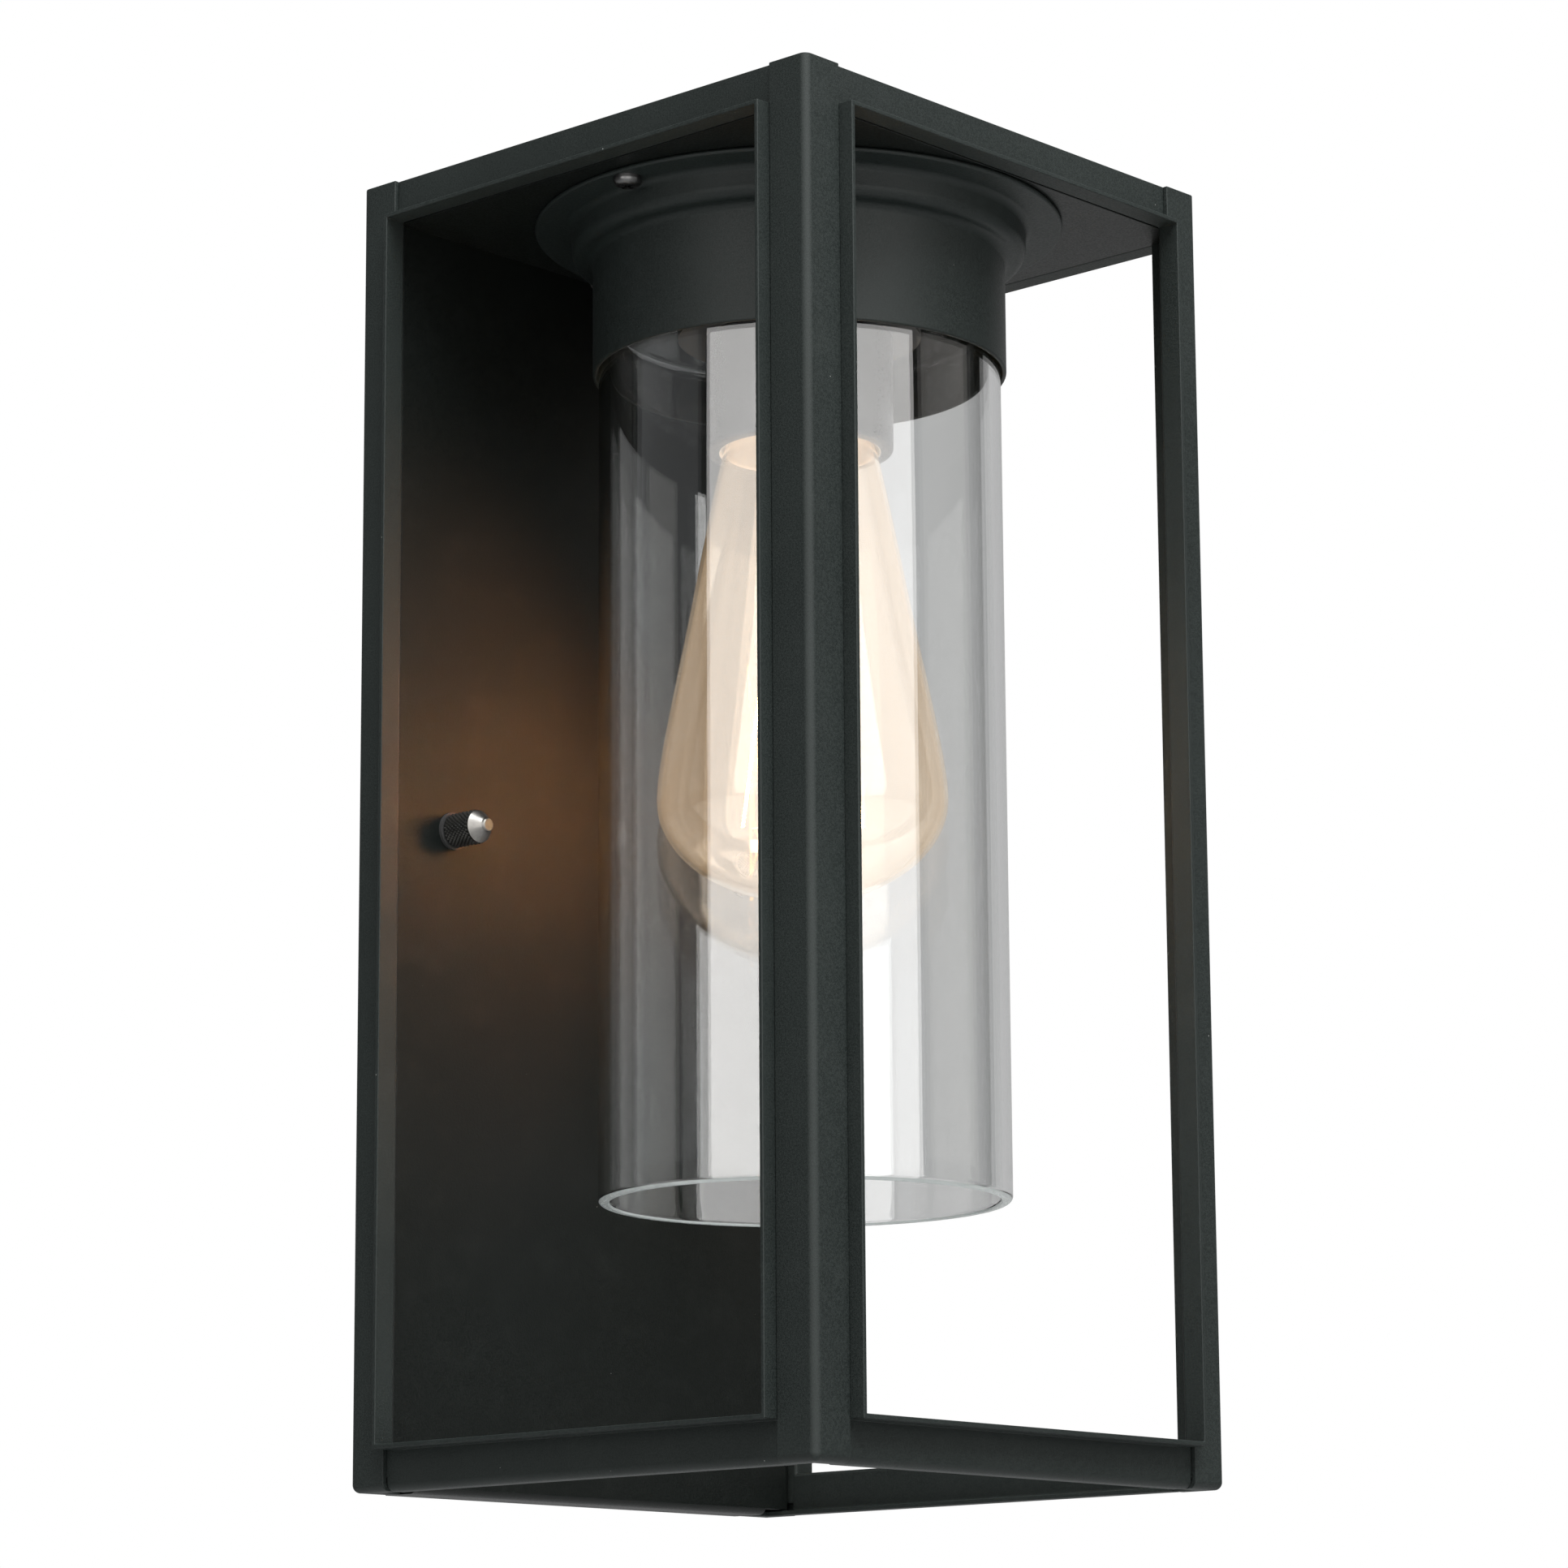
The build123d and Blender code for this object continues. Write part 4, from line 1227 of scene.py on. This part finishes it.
@dataclass
class Bulb:
    """The pear-shaped filament bulb."""

    wide: float = 33.0 * MM
    neck: float = 12.3 * MM
    wall: float = 0.8 * MM
    crown: float = 23.0 * MM
    flank: tuple[tuple[float, float], ...] = ((7.7 * MM, 43.5 * MM), (15.7 * MM, 82.5 * MM))
    top_radius: float = 12.0 * MM
    foot_radius: float = 13.5 * MM
    legs: int = 8
    coils: float = 44.0
    coil_radius: float = 0.30 * MM
    wire: float = 0.15 * MM
    root_depth: float = 0.75 * MM
    shell_wall: float = 0.3 * MM
    flare: float = 0.35 * MM
    flare_rise: float = 2.5 * MM
    shoulder_reach: float = 1.6 * MM
    shoulder_drop: float = 1.5 * MM
    lip_reach: float = 2.2 * MM
    inside_reach: float = 0.5 * MM
    inside_drop: float = 1.8 * MM
    ridge: float = 0.8 * MM
    ridge_sunk: float = 0.85 * MM
    ridge_turns: float = 3.6
    ridge_rise: float = 5.0 * MM
    ridge_length: float = 13.0 * MM
    segments: int = 160
    coiled: CoiledLegs = field(default_factory=CoiledLegs)
    ridges: ThreadRidges = field(default_factory=ThreadRidges)

    def build(self) -> None:
        """Makes every piece of the bulb."""
        self.envelope()
        self.filament()
        self.base()
        dress("bulb_stem", STEM)
        dress("bulb_supports", WIRE_STEEL)
        dress("bulb_insulator", BLACK_GLASS)
        dress("bulb_tip_contact", SOLDER)

    def outline(self, low: float, end: float, shrink: float) -> Outline:
        """The pear outline from the crown to the neck.

        Args:
            low: height of the crown.
            end: height of the end of the neck.
            shrink: how far it is drawn in.

        Returns:
            Points from the axis at the crown up to the neck.
        """
        wide, depth = self.wide - shrink, self.crown - shrink
        widest = low + self.crown
        steps = 28
        bowl = [(wide * math.sin(a), widest - depth * math.cos(a))
                for a in (math.pi / 2 * i / steps for i in range(steps))]
        points = [(wide, widest)] + [(wide - into, widest + up) for into, up in self.flank]
        points.append((self.neck - shrink, end - 8 * MM))
        return bowl + flowing(points, 14) + [(self.neck - shrink, end)]

    def envelope(self) -> None:
        """The blown glass, a thin closed shell."""
        place = Upright.of("bulb_glass")
        outer = self.outline(place.foot, place.top, 0.0)
        inner = self.outline(place.foot, place.top, self.wall)
        shell = turned("bulb_glass_blown", outer + inner[:0:-1] + [inner[0]], place.axis, AMBER,
                       segments=self.segments, smooth_angle=60)
        stand_for(shell, "bulb_glass", "bulb")

    def filament(self) -> None:
        """The wound filament, leg by leg."""
        place = Upright.of("bulb_filament")
        axis = Upright.of("bulb_glass").axis
        top, foot = place.top - 0.4 * MM, place.foot + 0.4 * MM
        step = 2 * math.pi / self.legs
        pieces = []
        for number in (0, 1):
            ends = []
            for corner in (number, number + 1):
                radius, z = (self.top_radius, top) if corner % 2 == 0 else (self.foot_radius, foot)
                ends.append(Vector((radius * math.cos(step * corner), radius * math.sin(step * corner), z)))
            run = (ends[1] - ends[0]).normalized()
            side = run.cross(Vector((0, 0, 1))).normalized()
            pieces.append(self.coiled.make("filament_legs_%d" % number, {
                "Start": ends[0], "End": ends[1], "Side": side, "Other Side": run.cross(side),
                "Coils": self.coils, "Coil Radius": self.coil_radius, "Wire Radius": self.wire,
                "Repeats": self.legs // 2, "Centre": (0.0, axis.y, 0.0), "Material": GLOW.material()}))
        wound = joined("bulb_filament_wound", pieces)
        stand_for(wound, "bulb_filament", "bulb")

    def base(self) -> None:
        """The screw shell with its rolled thread."""
        place = Upright.of("bulb_base")
        start = place.axis + Vector((0, 0, place.foot))
        root = place.radius - self.root_depth
        inside = root - self.shell_wall
        rise = place.top - place.foot
        outline = rounded(
            [(inside, 0), (root + self.flare, 0), (root, self.flare_rise), (root, rise - self.shoulder_drop),
             (root - self.shoulder_reach, rise), (root - self.lip_reach, rise),
             (root - self.inside_reach, rise - self.inside_drop), (inside, self.flare_rise)],
            [0.1 * MM, 0.2 * MM, 0.5 * MM, 0.6 * MM, 0.3 * MM, 0, 0, 0], 4)
        shell = turned("bulb_base_shell", outline, start, NICKEL, segments=96)
        thread = self.ridges.make("bulb_base_thread", {
            "Radius": place.radius - self.ridge_sunk, "Length": self.ridge_length,
            "Turns": self.ridge_turns, "Ridge Radius": self.ridge, "Material": NICKEL.material()})
        thread.data.transform(Matrix.Translation(start + Vector((0, 0, self.ridge_rise))))
        made = joined("bulb_base_visual", [shell, thread])
        made.data.shade_smooth()
        stand_for(made, "bulb_base", "bulb")


@dataclass
class Wiring:
    """The three wires."""

    def build(self) -> None:
        """Dresses the wires."""
        for node, finish in (("live_wire", BROWN), ("neutral_wire", BLUE), ("earth_wire", EARTH)):
            dress(node, finish)


# ---- studio -----------------------------------------------------------------------------------


@dataclass(frozen=True)
class Panel:
    """A soft light panel, placed by its bearing from the lantern.

    The bearing is in degrees from the camera's side. A leaning panel faces the lantern and the others stand
    upright. One that is gleam_only shows in reflections and gives no diffuse light.
    """

    name: str
    bearing: float
    rise: float
    distance: float
    width: float
    height: float
    radiance: float
    colour: Colour = (1.0, 1.0, 1.0)
    leaning: bool = False
    gleam_only: bool = False


@dataclass
class Studio:
    """Camera, light and floor."""

    eye: tuple[float, float, float] = (-0.8367, -0.8264, -0.2228)
    yaw: float = 47.843
    pitch: float = 11.638
    roll: float = 0.363
    lens: float = 116.44
    sensor: float = 36.0
    clip: tuple[float, float] = (0.05, 50.0)
    aim: tuple[float, float, float] = (0.0, -0.0745, 0.0)
    floor_level: float = -1.20
    floor_half: float = 4.0
    backdrop: float = 1.0
    behind: float = 0.50
    behind_from: tuple[float, float] = (0.35, 0.5)
    dim: float = 0.05
    lamp_spread: float = 104.0
    lamp_size: float = 0.024
    lamp_targets: dict[str, tuple[tuple[float, float, float], float]] = field(default_factory=lambda: {
        "left": ((-40 * MM, -10 * MM, 8 * MM), 0.36), "right": ((60 * MM, -12 * MM, 4 * MM), 0.16)})
    lamp_colour: Colour = (1.0, 0.34, 0.11)
    lamp_height: float = 0.018
    panels: tuple[Panel, ...] = (
        Panel("panel_front", 6.8, 1.25, 2.3, 8.3, 3.5, 0.8, (1.0, 0.985, 0.97)),
        Panel("panel_gleam", 6.8, 0.95, 2.31, 8.3, 4.1, 3.0, (1.0, 0.985, 0.97), gleam_only=True),
        Panel("panel_top", 25.0, 1.9, 1.1, 1.8, 1.8, 14.0, (0.97, 0.99, 1.0), leaning=True),
        Panel("panel_right", 91.8, 0.9, 2.0, 1.38, 1.8, 0.42, (1.0, 0.97, 0.92)),
        Panel("panel_left", -86.4, 0.9, 2.0, 2.05, 1.8, 0.24, (0.93, 0.97, 1.0)),
    )

    def build(self) -> None:
        """Sets camera, world, floor, panels and the glow of the bulb."""
        self.camera()
        self.world()
        self.floor()
        for panel in self.panels:
            self.light(panel)
        self.glow()
        view = bpy.context.scene.view_settings
        view.view_transform = "Standard"
        view.look = "None"

    def camera(self) -> None:
        """The camera, pitched up, without shift."""
        data = bpy.data.cameras.new("camera")
        data.lens = self.lens
        data.sensor_width = self.sensor
        data.sensor_fit = "HORIZONTAL"
        data.clip_start, data.clip_end = self.clip
        made = bpy.data.objects.new("camera", data)
        heading = Matrix.Rotation(math.radians(-self.yaw), 4, "Z")
        tilt = Matrix.Rotation(math.radians(90 + self.pitch), 4, "X")
        roll = Matrix.Rotation(math.radians(-self.roll), 4, "Z")
        made.matrix_world = Matrix.Translation(self.eye) @ (heading @ tilt) @ roll
        bpy.context.scene.collection.objects.link(made)
        bpy.context.scene.camera = made

    def world(self) -> None:
        """White where it is seen, grey through glass, dim for light that bounces."""
        world = bpy.data.worlds.new("studio")
        bpy.context.scene.world = world
        world.use_nodes = True
        graph = Graph(world.node_tree)
        path = graph.node("ShaderNodeLightPath", {}, {})
        seen = Signal(graph, path.outputs["Is Camera Ray"])
        place = graph.node("ShaderNodeTexCoord", {}, {}).outputs["Generated"]
        ahead = graph.node("ShaderNodeVectorMath", {"operation": "DOT_PRODUCT"}, {})
        graph.feed(ahead.inputs[0], Signal(graph, place))
        yaw = math.radians(self.yaw)
        graph.feed(ahead.inputs[1], (math.sin(yaw), math.cos(yaw), 0.0))
        back = Signal(graph, ahead.outputs["Value"]).fit(*self.behind_from, self.dim, self.behind)
        level = graph.maths("MAXIMUM", back, seen * self.backdrop)
        node = graph.node("ShaderNodeBackground", {}, {"Color": (1.0, 1.0, 1.0), "Strength": level})
        graph.node("ShaderNodeOutputWorld", {}, {"Surface": Signal(graph, node.outputs[0])})

    def floor(self) -> None:
        """A plain pale floor, well below the lantern."""
        half = self.floor_half
        corners = [Vector((x, y, self.floor_level))
                   for x, y in ((-half, -half), (half, -half), (half, half), (-half, half))]
        made = mesh_object("studio_floor", corners, [(0, 1, 2, 3)], FLOOR)

    def light(self, panel: Panel) -> None:
        """One panel, turned to the lantern and not seen directly.

        Args:
            panel: the panel.
        """
        data = bpy.data.lights.new(panel.name, "AREA")
        data.shape = "RECTANGLE"
        data.size, data.size_y = panel.width, panel.height
        data.energy = panel.radiance * math.pi * panel.width * panel.height
        data.color = panel.colour
        made = bpy.data.objects.new(panel.name, data)
        aim = Vector(self.aim)
        toward = Vector(self.eye) - aim
        toward.z = 0.0
        toward.normalize()
        toward.rotate(Matrix.Rotation(math.radians(panel.bearing), 3, "Z"))
        made.location = aim + toward * panel.distance + Vector((0, 0, panel.rise))
        facing = aim + Vector((0, 0, 0 if panel.leaning else panel.rise)) - made.location
        made.rotation_euler = facing.to_track_quat("-Z", "Y").to_euler()
        made.visible_camera = False
        made.visible_diffuse = not panel.gleam_only
        bpy.context.scene.collection.objects.link(made)

    def glow(self) -> None:
        """The light that the filament throws back to the wall pan and the rear posts."""
        source = Vector((self.aim[0], self.aim[1], self.lamp_height))
        for side, (target, power) in self.lamp_targets.items():
            data = bpy.data.lights.new("filament_light_" + side, "AREA")
            data.shape = "DISK"
            data.size = self.lamp_size
            data.spread = math.radians(self.lamp_spread)
            data.energy = power
            data.color = self.lamp_colour
            made = bpy.data.objects.new("filament_light_" + side, data)
            made.location = source
            made.rotation_euler = (Vector(target) - source).to_track_quat("-Z", "Y").to_euler()
            made.visible_camera = False
            made.visible_glossy = False
            made.visible_transmission = False
            bpy.context.scene.collection.objects.link(made)


def main() -> None:
    """Builds the lantern's looks, in order."""
    for part in (Cage(), WallFixing(), Fitter(), GlassTube(), Lampholder(), Bulb(), Wiring(), Studio()):
        part.build()
        log.info("%s done", type(part).__name__)


if __name__ == "__main__":
    main()
